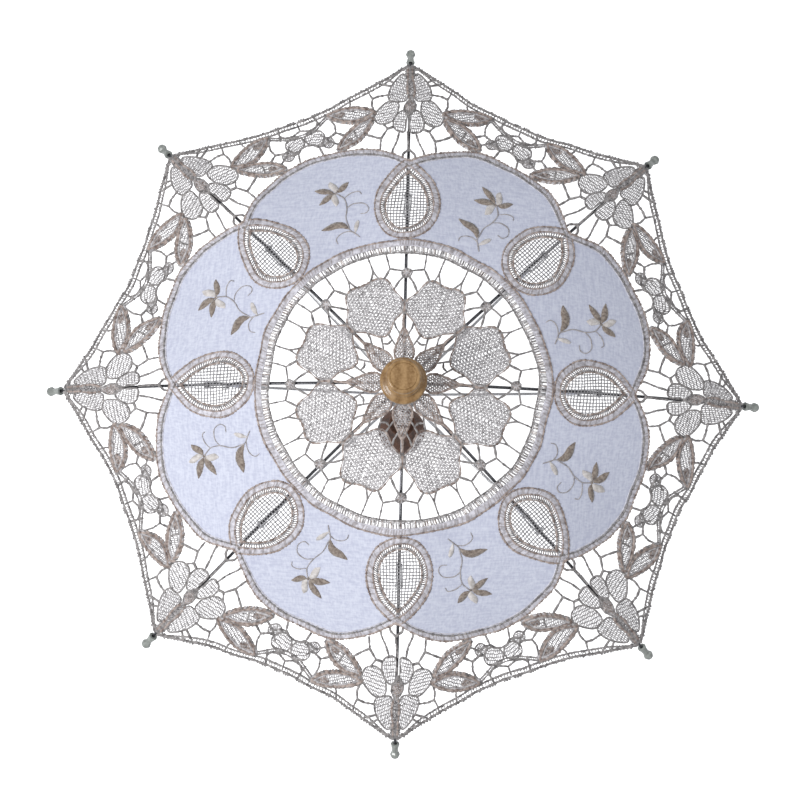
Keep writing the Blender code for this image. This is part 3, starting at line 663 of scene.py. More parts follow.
def round_path(radius_at):
    """One share of a line round the canopy; its radius is a number, or a function of the angle."""
    degrees = np.linspace(-HALF_DEGREES, HALF_DEGREES, 181)
    radius = radius_at(degrees) if callable(radius_at) else np.full(len(degrees), radius_at)
    return polar(np.stack([radius, degrees], -1))


def arc_band(layer, radius_at, width, **relief):
    """A satin band round the canopy, one share of it, so that neighbouring shares meet stitch for stitch."""
    add_band(layer, round_path(radius_at), width, SATIN_STITCHES, SATIN_PITCH, ridge=SATIN_RIDGE, **relief)


def arc_cord(layer, radius_at, radius, finish, lumps=0.2, height=0.0, wave=0.0):
    """A cord round the canopy, one share of it; wave swings it from side to side."""
    steps = stations(round_path(radius_at), FINE_STEP)
    size = radius * (1 + lumps * random.uniform(-1, 1, len(steps)))
    size[-1] = size[0]
    shift = wave * np.sin(np.arange(len(steps)) * math.pi / 2)
    shift[-1] = shift[0]
    add_cord(layer, steps + across(steps) * shift[:, None], size, finish, height=height, ends=1.0)


def edging():
    """The satin ring and the scalloped border of the linen."""
    layer = Layer()
    ring_width = RING_OUTER - RING_LADDER + 0.4
    ring_middle = RING_LADDER + ring_width / 2 - 0.4
    arc_band(layer, ring_middle, ring_width, thickness=1.5)
    arc_cord(layer, RING_OUTER - 0.1, 0.5, RUST, height=0.4, lumps=0.5)
    arc_cord(layer, RING_LADDER - 0.2, 0.45, THREAD, height=0.1)
    arc_band(layer, lambda degrees: lobe_radius(degrees) - 1.6, 3.4, thickness=1.6, slant=-0.35)
    # Cords along the scallops, as (distance in from the edge, radius, thread, height, lumps)
    for inset, radius, finish, height, lumps in (
        (0.1, 0.62, RUST, 0.2, 0.6),
        (LOBE_WIDTH - 0.9, 0.5, TAUPE_AND_SHADE, 0.4, 0.6),
        (LOBE_WIDTH + 0.1, 0.34, THREAD, 0.3, 0.2),
    ):
        arc_cord(layer, lambda degrees: lobe_radius(degrees) - inset, radius, finish, lumps, height)
    return layer.arrays()


def ring_loops():
    """The open loops on the ring's inner side, out to its thin inner cord."""
    layer = Layer()
    arc_cord(layer, RING_INNER, 0.5, TAUPE_AND_SHADE, lumps=0.35)
    arc_cord(layer, RING_INNER + 1.0, 0.36, THREAD, lumps=0.3, wave=0.25)
    for angle in np.arange(-HALF_DEGREES, HALF_DEGREES - 0.1, SECTOR / RING_RUNGS * 180 / math.pi):
        lean = random.uniform(-0.15, 0.5)
        for offset in (0, random.uniform(0.3, 0.55)):
            ends = [(RING_INNER, angle + offset), (RING_LADDER + 0.3, angle + offset + lean)]
            finish = random.choice([THREAD, THREAD, TAUPE_AND_SHADE, RUST])
            add_cord(layer, stations(polar(ends), LOOSE_STEP), 0.32, finish, sides=4, lumps=0.35, height=0.1)
    return layer.arrays()


# ---------------------------------------------------------------- centre lace

# Thin bars of the centre, as (distance from the shaft, degrees from the rib)
CENTRE_BARS = [
    [(64.5, 2), (66.3, 8.2), (75.5, 8.8)],
    [(66.3, 8.2), (60.4, 12.4)],
    [(61, 1.2), (57.6, 4.1), (52, 8.4)],
    [(75.5, 16.9), (66.4, 16.4), (60.2, 14.2)],
    [(66.4, 16.4), (59.6, 19.4)],
    [(26.6, 3.4), (31.4, 8), (34.8, 8.6)],
    [(20.4, 12), (25, 15.8), (29.2, 18.4)],
    [(25, 15.8), (23.6, 22.5)],
]
# Half of an arm of the hub's star, as (outward, across)
ARM_OUTLINE = [(11.5, 0), (11.8, 2.6), (14, 4.8), (17.5, 5.4), (21.5, 4.4), (26, 2.6), (31, 0)]


def patch_outline():
    """A patch's five-lobed edge, with a notch facing outward."""
    turn = np.linspace(0, 2 * math.pi, 61)[:-1]
    radius = PATCH_RADIUS + PATCH_LOBE * np.cos(5 * turn - math.pi)
    ring = (PATCH_CENTRE, 0) + radius[:, None] * circle(60)
    return stations(on_gore_line(ring), LOOSE_STEP, closed=True)


def centre_half():
    """The centre lace on one side of a rib: a meshed patch between two ribs, and the bars round it."""
    layer = Layer()
    outline = patch_outline()
    add_cord(layer, outline, 0.55, RUST, closed=True, lumps=0.5)
    add_cord(layer, shrunk(outline, 0.9), 0.4, THREAD, closed=True, lumps=0.5, height=0.15)
    inside = shrunk(outline, 0.6)
    for turn in (0, 60, 120):
        degrees = HALF_DEGREES + turn
        add_hatching(layer, inside, degrees, 1.75, 0.4, THREAD, wobble=0.16, weave=0.25, lumps=0.3, step=1.15)
    for points in CENTRE_BARS:
        add_bride(layer, polar(points), 0.58)
        for point in points[1:-1]:
            add_knot(layer, polar([point])[0], 0.5)
    return layer.arrays()


def centre_middle():
    """On the rib's line: the worked knot, the join of two patches, and the arm that runs to the hub."""
    layer = Layer()
    for radius, size, finish in ((2.5, 0.62, TAUPE_AND_SHADE), (1.35, 0.6, RUST), (0.5, 0.5, THREAD)):
        ring = (KNOT_PLACE, 0) + radius * circle(14)
        add_cord(layer, ring, size, finish, closed=True, lumps=0.25, height=0.1)
    for spoke in range(KNOT_SPOKES):
        angle = 2 * math.pi * spoke / KNOT_SPOKES + 0.3
        tip = (KNOT_PLACE + 3.3 * math.cos(angle), 3.3 * math.sin(angle))
        spoke_path = stations(np.array([(KNOT_PLACE, 0), tip]), CORD_STEP)
        add_cord(layer, spoke_path, 0.45, THREAD, height=0.35, lumps=0.2)
    join = leaf_outline([(38.5, 0), (47.5, 0)], 3.0, fullness=1.0)
    add_hatching(layer, join, 60, 0.7, 0.4, RUST, wobble=0.15, weave=0.15)
    add_cord(layer, stations(join, CORD_STEP, closed=True), 0.65, TAUPE_AND_SHADE, closed=True, lumps=0.3)
    add_cord(layer, curve_through([(30, 0), (34, 0.3), (39, 0)], CORD_STEP), 0.8, RUST, lumps=0.25)
    right = np.array(ARM_OUTLINE)
    arm = curve_through(np.concatenate([right, right[-2:0:-1] * (1, -1)]), CORD_STEP, closed=True)
    for degrees, finish in ((35, THREAD), (-35, RUST), (90, THREAD)):
        add_hatching(layer, arm, degrees, 1.25, 0.34, finish, wobble=0.2, weave=0.2, lumps=0.25, step=1.0)
    add_cord(layer, arm, 0.7, RUST, closed=True, lumps=0.3)
    heart = leaf_outline([(21, 0), (31, 0)], 3.2, fullness=1.0)
    add_hatching(layer, heart, 70, 0.7, 0.42, RUST, wobble=0.1, weave=0.1)
    return layer.arrays()


# ---------------------------------------------------------------- linen and embroidery

LINEN_TOP = 0.25
LINEN_COLUMNS = 73
LINEN_ROWS = 52


def inside_outline(points, outline):
    """Which flat points lie inside a closed outline."""
    x, y = points[:, 0, None], points[:, 1, None]
    ax, ay = outline.T
    bx, by = np.roll(outline, -1, 0).T
    crossing = (ay > y) != (by > y)
    reach = ax + (y - ay) / np.where(by == ay, 1, by - ay) * (bx - ax)
    return (crossing & (x < reach)).sum(1) % 2 == 1


def linen_share():
    """The woven cloth between the ring and the scallops, without the window; also its flat area."""
    share = np.linspace(-1, 1, LINEN_COLUMNS)
    degrees = share * HALF_DEGREES
    inner = RING_OUTER - 2.0
    outer = lobe_radius(degrees) - 1.8
    reach = np.linspace(0, 1, LINEN_ROWS)
    radius = inner + (outer[None, :] - inner) * reach[:, None]
    angle = np.radians(np.broadcast_to(degrees, radius.shape))
    flat = np.stack([radius * np.cos(angle), radius * np.sin(angle)], -1).reshape(-1, 2)
    index = np.arange(radius.size).reshape(radius.shape)
    cells = np.stack([index[:-1, :-1], index[1:, :-1], index[1:, 1:], index[:-1, 1:]], -1).reshape(-1, 4)
    window = shrunk(window_outline(CORD_STEP), SATIN_WIDTH / 2)
    cells = cells[~inside_outline(flat[cells].mean(1), window)]
    used, cells = np.unique(cells, return_inverse=True)
    flat, cells = flat[used], cells.reshape(-1, 4)
    corners = flat[cells]
    x, y = corners[..., 0], corners[..., 1]
    area = 0.5 * np.abs(np.sum(x * np.roll(y, -1, 1) - y * np.roll(x, -1, 1), 1)).sum()
    count = len(flat)
    top = np.concatenate([flat, np.full((count, 1), LINEN_TOP)], 1)
    bottom = np.concatenate([flat, np.full((count, 1), -LINEN_TOP)], 1)
    edges = np.concatenate([cells[:, [i, (i + 1) % 4]] for i in range(4)])
    keys = np.sort(edges, 1)
    _, first, number = np.unique(keys, axis=0, return_index=True, return_counts=True)
    rim = edges[first[number == 1]]
    walls = np.stack([rim[:, 0], rim[:, 0] + count, rim[:, 1] + count, rim[:, 1]], -1)
    layer = Layer()
    layer.add(np.concatenate([top, bottom]), np.concatenate([cells, cells[:, ::-1] + count, walls]), 0)
    return layer.arrays(), area


# The spray's flower: its place along a rib and its turn from it; petals as (degrees, length)
FLOWER_PLACE = 119
FLOWER_DEGREES = -25
DARK_PETALS = [(62, 10.5), (-59, 12.8), (-105, 12.2)]
PALE_PETALS = [(0, 8.6), (-156, 8.6)]
# Widths of the satin stitch from one end of a petal or leaf to the other
PETAL_WIDTHS = [0.3, 2.4, 3.9, 4.2, 3.6, 2.2, 0.4]
LARGE_LEAF_WIDTHS = [0.4, 2.8, 4.6, 4.8, 4.4, 2.8, 0.5]
SMALL_LEAF_WIDTHS = [0.4, 2.0, 3.0, 2.8, 1.4]
# Stem and curls, as (outward, clockwise) from the flower's middle
STEM = [
    (0, 0), (-2.5, 1.8), (-5.7, 3.3), (-11.2, 2.5), (-16.6, -0.5),
    (-21.8, -0.8), (-25.1, -0.7), (-28.7, 2.4), (-30.6, 4),
]
CURLS = [
    [(-11.2, 2.5), (-9.7, 6.9), (-10.9, 12.5), (-14.6, 14.3), (-17.3, 12.2), (-16.8, 8.8)],
    [(-5.1, 3.2), (-3.1, 7.7), (-3.2, 12.2), (-5.4, 13.2)],
    [(-26.7, 1.2), (-25.2, -3.2), (-25.8, -6.8), (-28, -9.1), (-31, -8.8)],
]


def embroidery():
    """A spray on each gore: a five-petalled flower, its stem and curls, a large leaf and a small one."""
    layer = Layer()
    high = LINEN_TOP + 0.1

    def needle(points):
        """From (outward, clockwise) of the flower's middle to the flat lace."""
        moved = np.asarray(points, float) * (1, -1) + (FLOWER_PLACE, 0)
        return curve_through(turn_flat(moved, FLOWER_DEGREES), 0.6)

    def satin(points, widths, finish, pitch=0.5):
        relief = {"thickness": 0.9, "slant": 0.55, "height": high, "sides": 6}
        add_band(layer, needle(points), widths, finish, pitch, **relief)

    for petals, finish in ((DARK_PETALS, DARK_FLOSS), (PALE_PETALS, PALE_FLOSS)):
        for degrees, length in petals:
            direction = np.array([math.cos(math.radians(degrees)), math.sin(math.radians(degrees))])
            sideways = np.array([-direction[1], direction[0]])
            points = [direction * 0.8, direction * length * 0.55 + sideways * 0.5, direction * length]
            fuller = 1.25 if finish == PALE_FLOSS else 1
            satin(points, [fuller * width for width in PETAL_WIDTHS], finish)
    add_cord(layer, needle(STEM), 0.34, GREY_FLOSS, height=high + 0.1, lumps=0.2)
    for curl in CURLS:
        add_cord(layer, needle(curl), 0.27, GREY_FLOSS, height=high + 0.05, lumps=0.25)
    satin([(-24.2, -1.1), (-19.4, -6.0), (-18.5, -15.2)], LARGE_LEAF_WIDTHS, DARK_FLOSS, 0.62)
    satin([(-27.6, 1.6), (-24.5, 3.4), (-21.3, 6.4)], SMALL_LEAF_WIDTHS, PALE_FLOSS)
    heart = turn_flat([(FLOWER_PLACE, 0)], FLOWER_DEGREES)[0]
    add_knot(layer, heart, 1.0, DARK_FLOSS)
    spray = layer.arrays()
    both = Layer()
    both.take(spray)
    both.take(turned(spray, math.degrees(SECTOR)))
    return both.arrays()


# ---------------------------------------------------------------- finishes


def node_group(name, inputs, outputs):
    """An empty shader group with these sockets; returns it with its input and output nodes."""
    group = bpy.data.node_groups.new(name, "ShaderNodeTree")
    for label, kind, value in inputs:
        socket = group.interface.new_socket(label, in_out="INPUT", socket_type=kind)
        socket.default_value = value
    for label, kind in outputs:
        group.interface.new_socket(label, in_out="OUTPUT", socket_type=kind)
    return group, group.nodes.new("NodeGroupInput"), group.nodes.new("NodeGroupOutput")


def set_inputs(node, **values):
    """Sets a node's sockets; sheen_weight stands for the one labelled Sheen Weight."""
    for label, value in values.items():
        node.inputs[label.replace("_", " ").title()].default_value = value


def math_node(tree, operation, *values):
    """Arithmetic on two or three values; each is a number or another node's output."""
    node = tree.nodes.new("ShaderNodeMath")
    node.operation = operation
    for socket, value in zip(node.inputs, values):
        if isinstance(value, bpy.types.NodeSocket):
            tree.links.new(value, socket)
        else:
            socket.default_value = value
    return node


def range_node(tree, value, **limits):
    """Moves a value from one range to another; the limits are from_min, from_max, to_min and to_max."""
    node = tree.nodes.new("ShaderNodeMapRange")
    set_inputs(node, **limits)
    tree.links.new(value, node.inputs["Value"])
    return node


def noise_node(tree, scale, detail, stretch=None):
    """Noise in the object's own metres; stretch is a scale for each axis."""
    place = tree.nodes.new("ShaderNodeTexCoord")
    noise = tree.nodes.new("ShaderNodeTexNoise")
    set_inputs(noise, scale=scale, detail=detail)
    source = place.outputs["Object"]
    if stretch:
        mapping = tree.nodes.new("ShaderNodeMapping")
        mapping.inputs["Scale"].default_value = stretch
        tree.links.new(source, mapping.inputs["Vector"])
        source = mapping.outputs["Vector"]
    tree.links.new(source, noise.inputs["Vector"])
    return noise


def ramp_node(tree, value, low, high, low_at=0.35, high_at=0.65):
    """A colour that runs from low to high with the value."""
    ramp = tree.nodes.new("ShaderNodeValToRGB")
    for element, place, tint in zip(ramp.color_ramp.elements, (low_at, high_at), (low, high)):
        element.position = place
        element.color = (*tint, 1)
    tree.links.new(value, ramp.inputs["Fac"])
    return ramp


def thread_group():
    """Spun cotton: patchy tone, and the fine relief of its fibres and twist."""
    inputs = [
        ("Light", "NodeSocketColor", (0.6, 0.5, 0.42, 1)),
        ("Dark", "NodeSocketColor", (0.2, 0.15, 0.1, 1)),
        ("Patch Scale", "NodeSocketFloat", 260.0),
        ("Fibre Scale", "NodeSocketFloat", 2600.0),
    ]
    outputs = [("Color", "NodeSocketColor"), ("Roughness", "NodeSocketFloat"), ("Height", "NodeSocketFloat")]
    tree, inward, outward = node_group("cotton_thread", inputs, outputs)
    patches = noise_node(tree, 260, 3)
    fibres = noise_node(tree, 2600, 2)
    tree.links.new(inward.outputs["Patch Scale"], patches.inputs["Scale"])
    tree.links.new(inward.outputs["Fibre Scale"], fibres.inputs["Scale"])
    spread = range_node(tree, patches.outputs["Fac"], from_min=0.32, from_max=0.68)
    grain = math_node(tree, "MULTIPLY_ADD", fibres.outputs["Fac"], 0.5, spread.outputs["Result"])
    centred = math_node(tree, "SUBTRACT", grain.outputs["Value"], 0.25)
    centred.use_clamp = True
    mix = tree.nodes.new("ShaderNodeMix")
    mix.data_type = "RGBA"
    tree.links.new(centred.outputs["Value"], mix.inputs["Factor"])
    tree.links.new(inward.outputs["Dark"], mix.inputs["A"])
    tree.links.new(inward.outputs["Light"], mix.inputs["B"])
    rough = range_node(tree, fibres.outputs["Fac"], to_min=0.6, to_max=0.9)
    tree.links.new(mix.outputs["Result"], outward.inputs["Color"])
    tree.links.new(rough.outputs["Result"], outward.inputs["Roughness"])
    tree.links.new(fibres.outputs["Fac"], outward.inputs["Height"])
    return tree


def blank_material(name):
    material = bpy.data.materials.new(name)
    material.use_nodes = True
    return material, material.node_tree, material.node_tree.nodes["Principled BSDF"]


def place_group(tree, group, values):
    node = tree.nodes.new("ShaderNodeGroup")
    node.node_tree = group
    for label, value in values.items():
        node.inputs[label].default_value = value
    return node


def add_bump(tree, shader, height, strength, distance):
    bump = tree.nodes.new("ShaderNodeBump")
    set_inputs(bump, strength=strength, distance=distance)
    tree.links.new(height, bump.inputs["Height"])
    tree.links.new(bump.outputs["Normal"], shader.inputs["Normal"])


COTTON = thread_group()


def cotton(name, light, dark, patch=480.0, sheen=0.25):
    """Cotton thread in two tones, light and dark; they change oftener with a larger patch number."""
    material, tree, shader = blank_material(name)
    values = {"Light": (*light, 1), "Dark": (*dark, 1), "Patch Scale": patch}
    yarn = place_group(tree, COTTON, values)
    tree.links.new(yarn.outputs["Color"], shader.inputs["Base Color"])
    tree.links.new(yarn.outputs["Roughness"], shader.inputs["Roughness"])
    add_bump(tree, shader, yarn.outputs["Height"], 0.5, 0.00008)
    set_inputs(shader, sheen_weight=sheen, sheen_roughness=0.5)
    shader.inputs["Specular IOR Level"].default_value = 0.2
    return material


def linen():
    """Fine plain-woven cloth, bluish white, with slubs in both directions."""
    material, tree, shader = blank_material("linen")
    place = tree.nodes.new("ShaderNodeTexCoord")
    heights = []
    for direction in ("X", "Y"):
        weave = tree.nodes.new("ShaderNodeTexWave")
        weave.bands_direction = direction
        set_inputs(weave, scale=560, distortion=1.2, detail=2)
        tree.links.new(place.outputs["Object"], weave.inputs["Vector"])
        heights.append(weave.outputs["Fac"])
    crossed = math_node(tree, "MULTIPLY", *heights)
    slubs = [noise_node(tree, 900, 2, stretch).outputs["Fac"] for stretch in ((1, 0.06, 1), (0.06, 1, 1))]
    uneven = math_node(tree, "ADD", *slubs)
    mixed = math_node(tree, "MULTIPLY_ADD", crossed.outputs["Value"], 0.35, uneven.outputs["Value"])
    # The value runs past 1, so it is brought back before the ramp reads it
    scaled = range_node(tree, mixed.outputs["Value"], from_min=0.75, from_max=1.4)
    tone = ramp_node(tree, scaled.outputs["Result"], (0.458, 0.478, 0.592), (0.595, 0.618, 0.715), 0.1, 0.9)
    tree.links.new(tone.outputs["Color"], shader.inputs["Base Color"])
    add_bump(tree, shader, mixed.outputs["Value"], 0.35, 0.0002)
    shader.inputs["Specular IOR Level"].default_value = 0.2
    set_inputs(shader, roughness=0.85, sheen_weight=0.2)
    return material


def metal(name, low, high, roughness):
    """Drawn metal: fine lines along it, and a little dullness that comes and goes."""
    material, tree, shader = blank_material(name)
    lines = noise_node(tree, 1400, 2, stretch=(1, 1, 0.05))
    tone = ramp_node(tree, lines.outputs["Fac"], low, high)
    tree.links.new(tone.outputs["Color"], shader.inputs["Base Color"])
    dull = noise_node(tree, 60, 3)
    rough = range_node(tree, dull.outputs["Fac"], to_min=roughness * 0.7, to_max=roughness * 1.5)
    tree.links.new(rough.outputs["Result"], shader.inputs["Roughness"])
    add_bump(tree, shader, lines.outputs["Fac"], 0.12, 0.0001)
    shader.inputs["Metallic"].default_value = 1.0
    return material


def wood(name, low, high, roughness, coat, ring_scale, grain):
    """Turned wood: growth rings with long grain, under a thin lacquer."""
    material, tree, shader = blank_material(name)
    place = tree.nodes.new("ShaderNodeTexCoord")
    mapping = tree.nodes.new("ShaderNodeMapping")
    set_inputs(mapping, location=(0.013, 0.021, 0), rotation=(0.06, 0.04, 0))
    tree.links.new(place.outputs["Object"], mapping.inputs["Vector"])
    rings = tree.nodes.new("ShaderNodeTexWave")
    rings.wave_type = "RINGS"
    rings.rings_direction = "Z"
    set_inputs(rings, scale=ring_scale, distortion=2.2, detail=2, detail_scale=1.2)
    tree.links.new(mapping.outputs["Vector"], rings.inputs["Vector"])
    pores = noise_node(tree, grain, 3, (1, 1, 0.04))
    blend = math_node(tree, "MULTIPLY_ADD", rings.outputs["Fac"], 0.35, pores.outputs["Fac"])
    tone = ramp_node(tree, blend.outputs["Value"], low, high, 0.3, 0.95)
    tree.links.new(tone.outputs["Color"], shader.inputs["Base Color"])
    add_bump(tree, shader, blend.outputs["Value"], 0.12, 0.0002)
    set_inputs(shader, roughness=roughness, coat_weight=coat, coat_roughness=0.12)
    shader.inputs["Specular IOR Level"].default_value = 0.25
    return material


def plastic(name, low, high, roughness, transmission=0.0):
    """Moulded plastic with faint flow marks."""
    material, tree, shader = blank_material(name)
    flow = noise_node(tree, 300, 3)
    tone = ramp_node(tree, flow.outputs["Fac"], low, high)
    tree.links.new(tone.outputs["Color"], shader.inputs["Base Color"])
    add_bump(tree, shader, flow.outputs["Fac"], 0.1, 0.0001)
    set_inputs(shader, roughness=roughness, transmission_weight=transmission)
    return material


THREAD_PALE = cotton("thread_pale", (0.6, 0.58, 0.59), (0.24, 0.225, 0.23))
# Taupe: the pale thread darkened, partly its own tone and partly painted shade for thin threads against a
# bright ground
THREAD_TAUPE_AND_SHADE = cotton("thread_taupe_and_shade", (0.36, 0.34, 0.335), (0.1, 0.092, 0.092))
THREAD_RUST = cotton("thread_rust", (0.47, 0.395, 0.36), (0.125, 0.088, 0.076))
SATIN_PALE = cotton("satin_pale", (0.68, 0.67, 0.73), (0.36, 0.345, 0.37))
SATIN_SHADE = cotton("satin_shade", (0.48, 0.45, 0.47), (0.27, 0.25, 0.26))
NET_GREY = cotton("net_grey", (0.36, 0.355, 0.37), (0.15, 0.145, 0.15))
FLOSS_DARK = cotton("floss_dark", (0.33, 0.28, 0.24), (0.13, 0.1, 0.085), patch=700, sheen=0.4)
FLOSS_GREY = cotton("floss_grey", (0.45, 0.42, 0.42), (0.2, 0.18, 0.18), sheen=0.4)
FLOSS_PALE = cotton("floss_pale", (0.66, 0.63, 0.62), (0.42, 0.39, 0.37), patch=420, sheen=0.4)
LINEN = linen()
STEEL = metal("bright_steel", (0.6, 0.61, 0.62), (0.85, 0.85, 0.86), 0.2)
DARK_STEEL = metal("dark_steel", (0.05, 0.05, 0.055), (0.16, 0.16, 0.17), 0.32)
SHAFT_METAL = metal("shaft_metal", (0.6, 0.6, 0.6), (0.8, 0.8, 0.8), 0.22)
PALE_WOOD = wood("pale_wood", (0.17, 0.09, 0.03), (0.36, 0.225, 0.105), 0.4, 0.25, 42, 700)
# Handle wood: partly a darker, redder wood than the ferrule and partly painted shade from under the canopy
DARK_WOOD_AND_SHADE = wood("dark_wood", (0.034, 0.013, 0.007), (0.11, 0.044, 0.022), 0.65, 0.0, 36, 600)
CROWN_PLASTIC = plastic("crown_plastic", (0.62, 0.62, 0.6), (0.72, 0.72, 0.7), 0.4)
TIP_PLASTIC = plastic("tip_plastic", (0.2, 0.215, 0.2), (0.33, 0.35, 0.33), 0.25, 0.1)


# ---------------------------------------------------------------- pieces


def build_mesh(name, points, faces, finishes, materials):
    """A smooth mesh of four-sided faces."""
    mesh = bpy.data.meshes.new(name)
    mesh.vertices.add(len(points))
    mesh.vertices.foreach_set("co", np.ascontiguousarray(points, np.float32).ravel())
    mesh.loops.add(faces.size)
    mesh.loops.foreach_set("vertex_index", np.ascontiguousarray(faces, np.int32).ravel())
    mesh.polygons.add(len(faces))
    mesh.polygons.foreach_set("loop_start", np.arange(0, faces.size, 4, dtype=np.int32))
    mesh.polygons.foreach_set("material_index", np.ascontiguousarray(finishes, np.int32))
    for material in materials:
        mesh.materials.append(material)
    mesh.update(calc_edges=True)
    mesh.shade_smooth()
    obj = bpy.data.objects.new(name, mesh)
    bpy.context.scene.collection.objects.link(obj)
    return obj


def canopy_piece(name, arrays, materials, rib):
    """One rib's share of a layer, laid on the canopy; it folds with the rib."""
    points, faces, finishes = turned(arrays, math.degrees(SECTOR) * (rib - 1))
    obj = build_mesh(f"{name}_{rib}", lay_on_canopy(points), faces, finishes, materials)
    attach(obj, f"rib_{rib}")
    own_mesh(obj)
    return obj


def joined(*parts):
    """Several drawings as one."""
    layer = Layer()
    for part in parts:
        layer.take(part)
    return layer.arrays()


def make_canopy():
    """Each rib's share of the lace, satin, net, embroidery and linen, in place of its plain panel."""
    outer = outer_half()
    outer_lace = within_share(joined(outer, mirrored(outer), outer_middle()))
    centre = centre_half()
    loops = ring_loops()
    centre_lace = joined(within_share(joined(centre, mirrored(centre), centre_middle())), loops)
    border = joined(edging(), window_satin())
    net = window_net()
    spray = within_share(embroidery())
    cloth, area = linen_share()
    lace_threads = [THREAD_PALE, THREAD_TAUPE_AND_SHADE, THREAD_RUST]
    edge_threads = [SATIN_PALE, THREAD_TAUPE_AND_SHADE, THREAD_RUST, SATIN_SHADE]
    for rib in range(1, RIBS + 1):
        parts = [
            canopy_piece("outer_lace", outer_lace, lace_threads, rib),
            canopy_piece("centre_lace", centre_lace, lace_threads, rib),
            canopy_piece("satin_border", border, edge_threads, rib),
            canopy_piece("window_net", net, [NET_GREY, THREAD_TAUPE_AND_SHADE, THREAD_RUST], rib),
            canopy_piece("embroidery", spray, [FLOSS_DARK, FLOSS_PALE, FLOSS_GREY], rib),
        ]
        panel = canopy_piece("linen_panel", cloth, [LINEN], rib)
        panel.data.set_sharp_from_angle(angle=math.radians(60))
        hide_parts(f"canopy_panel_{rib}")


# Cords round the hub, as (radius, cord radius, thread), and the spokes between them
HUB_RINGS = [(3.9, 0.4, TAUPE_AND_SHADE), (6.6, 0.35, THREAD), (9.4, 0.38, THREAD), (12.1, 0.42, TAUPE_AND_SHADE)]
HUB_SPOKES = 48
HUB_SPOKE_LEAN = 0.14


def make_hub_lace():
    """The lace gathered round the shaft, under the washer."""
    layer = Layer()
    for radius, size, finish in HUB_RINGS:
        ring = radius * circle(max(24, round(radius * 8)))
        add_cord(layer, ring, size, finish, closed=True, lumps=0.2)
    for number in range(HUB_SPOKES):
        angle = 2 * math.pi * number / HUB_SPOKES
        outer_angle = angle + (HUB_SPOKE_LEAN if number % 2 else -HUB_SPOKE_LEAN)
        start = (4 * math.cos(angle), 4 * math.sin(angle))
        end = (12 * math.cos(outer_angle), 12 * math.sin(outer_angle))
        add_cord(layer, stations(np.array([start, end]), 1.0), 0.3, THREAD, lumps=0.2, sides=4)
    points, faces, finishes = layer.arrays()
    points = (points + (0, 0, HUB_HEIGHT)) * MM
    obj = build_mesh("hub_lace", points, faces, finishes, [THREAD_PALE, THREAD_TAUPE_AND_SHADE, THREAD_RUST])
    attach(obj, "shaft_frame")
    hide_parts("canopy_rosette")


ARC_POINTS = 11
LATHE_STEPS = 96


def arc(centre_r, centre_z, radius_r, radius_z, start, end):
    """Points of an ellipse arc for a turned outline; angles in degrees from outward towards up."""
    angles = np.radians(np.linspace(start, end, ARC_POINTS))
    return list(zip(centre_r + radius_r * np.cos(angles), centre_z + radius_z * np.sin(angles)))


def turned_piece(name, outline, material, node):
    """A lathe-turned piece about the shaft; the outline is (radius, height) in millimetres."""
    mesh = bpy.data.meshes.new(name)
    shapes = bmesh.new()
    points = [shapes.verts.new((radius * MM, 0, z * MM)) for radius, z in outline]
    edges = [shapes.edges.new(pair) for pair in zip(points, points[1:])]
    full_turn = {"cent": (0, 0, 0), "axis": (0, 0, 1), "angle": 2 * math.pi, "use_merge": True}
    bmesh.ops.spin(shapes, geom=points + edges, steps=LATHE_STEPS, **full_turn)
    bmesh.ops.remove_doubles(shapes, verts=shapes.verts, dist=1e-6)
    bmesh.ops.recalc_face_normals(shapes, faces=shapes.faces)
    shapes.to_mesh(mesh)
    shapes.free()
    mesh.materials.append(material)
    mesh.shade_smooth()
    mesh.set_sharp_from_angle(angle=math.radians(38))
    obj = bpy.data.objects.new(name, mesh)
    bpy.context.scene.collection.objects.link(obj)
    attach(obj, "shaft_frame")
    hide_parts(node)


def make_ferrule():
    """The stepped ferrule: button, waist, ring and flange, with fine turning grooves."""
    outline = [
        (0, 316),
        (7.1, 316),
        (7.3, 315.7),
        (7.5, 316),
        *arc(8.1, 314.2, 1.4, 1.8, 90, 0),
        *arc(8.1, 312, 1.4, 1.6, 0, -70),
        *arc(9.3, 304.5, 3.6, 4.6, 130, 235),
        *arc(7.6, 297.6, 2, 1.9, 65, -60),
        (9, 295.2),
        (9.3, 294.9),
        (10.9, 294.7),
        *arc(11.4, 292.2, 1.6, 2.2, 75, -80),
        (9.6, 287.6),
        (9, 285.2),
        (3.2, 285.2),
        (3.2, 296.3),
        (0, 296.3),
    ]
    turned_piece("ferrule_turned", outline, PALE_WOOD, "ferrule")


def make_handle():
    """The pear-shaped handle with its neck bead; its dark tone is partly a redder wood than the ferrule's and
    partly painted shade from under the canopy.
    """
    swell = []
    for share in np.linspace(0, 1, 22):
        rise = 0.5 - 0.5 * math.cos(math.pi * share)
        swell.append((6.9 + 8.6 * rise, 21 - 41 * share))
    outline = [
        (0, -20.3),
        (3.2, -20.3),
        (3.2, 40),
        (5, 40),
        (5.8, 39.2),
        (5.8, 37),
        *arc(6.4, 33.5, 2.2, 2.6, 80, -80),
        (6.2, 29),
        (6.2, 25.5),
        *swell,
        *arc(10, -20, 5.5, 20, -16, -90),
        (0, -40),
    ]
    turned_piece("handle_turned", outline, DARK_WOOD_AND_SHADE, "handle")


def finish_of(node):
    """The material of a carried-over part; wires, pins, rivets, stretchers and catches are steel."""
    if node.startswith("rib_tip"):
        return TIP_PLASTIC
    if node.startswith("rib"):
        return DARK_STEEL
    return {"crown": CROWN_PLASTIC, "runner": CROWN_PLASTIC, "shaft": SHAFT_METAL}.get(node, STEEL)


def dress_frame():
    """Each carried-over part gets its own finish, and round shading with crisp edges."""
    for name, obj in nodes.items():
        obj.data.materials.clear()
        obj.data.materials.append(finish_of(name))
        obj.data.shade_smooth()
        obj.data.set_sharp_from_angle(angle=math.radians(32))


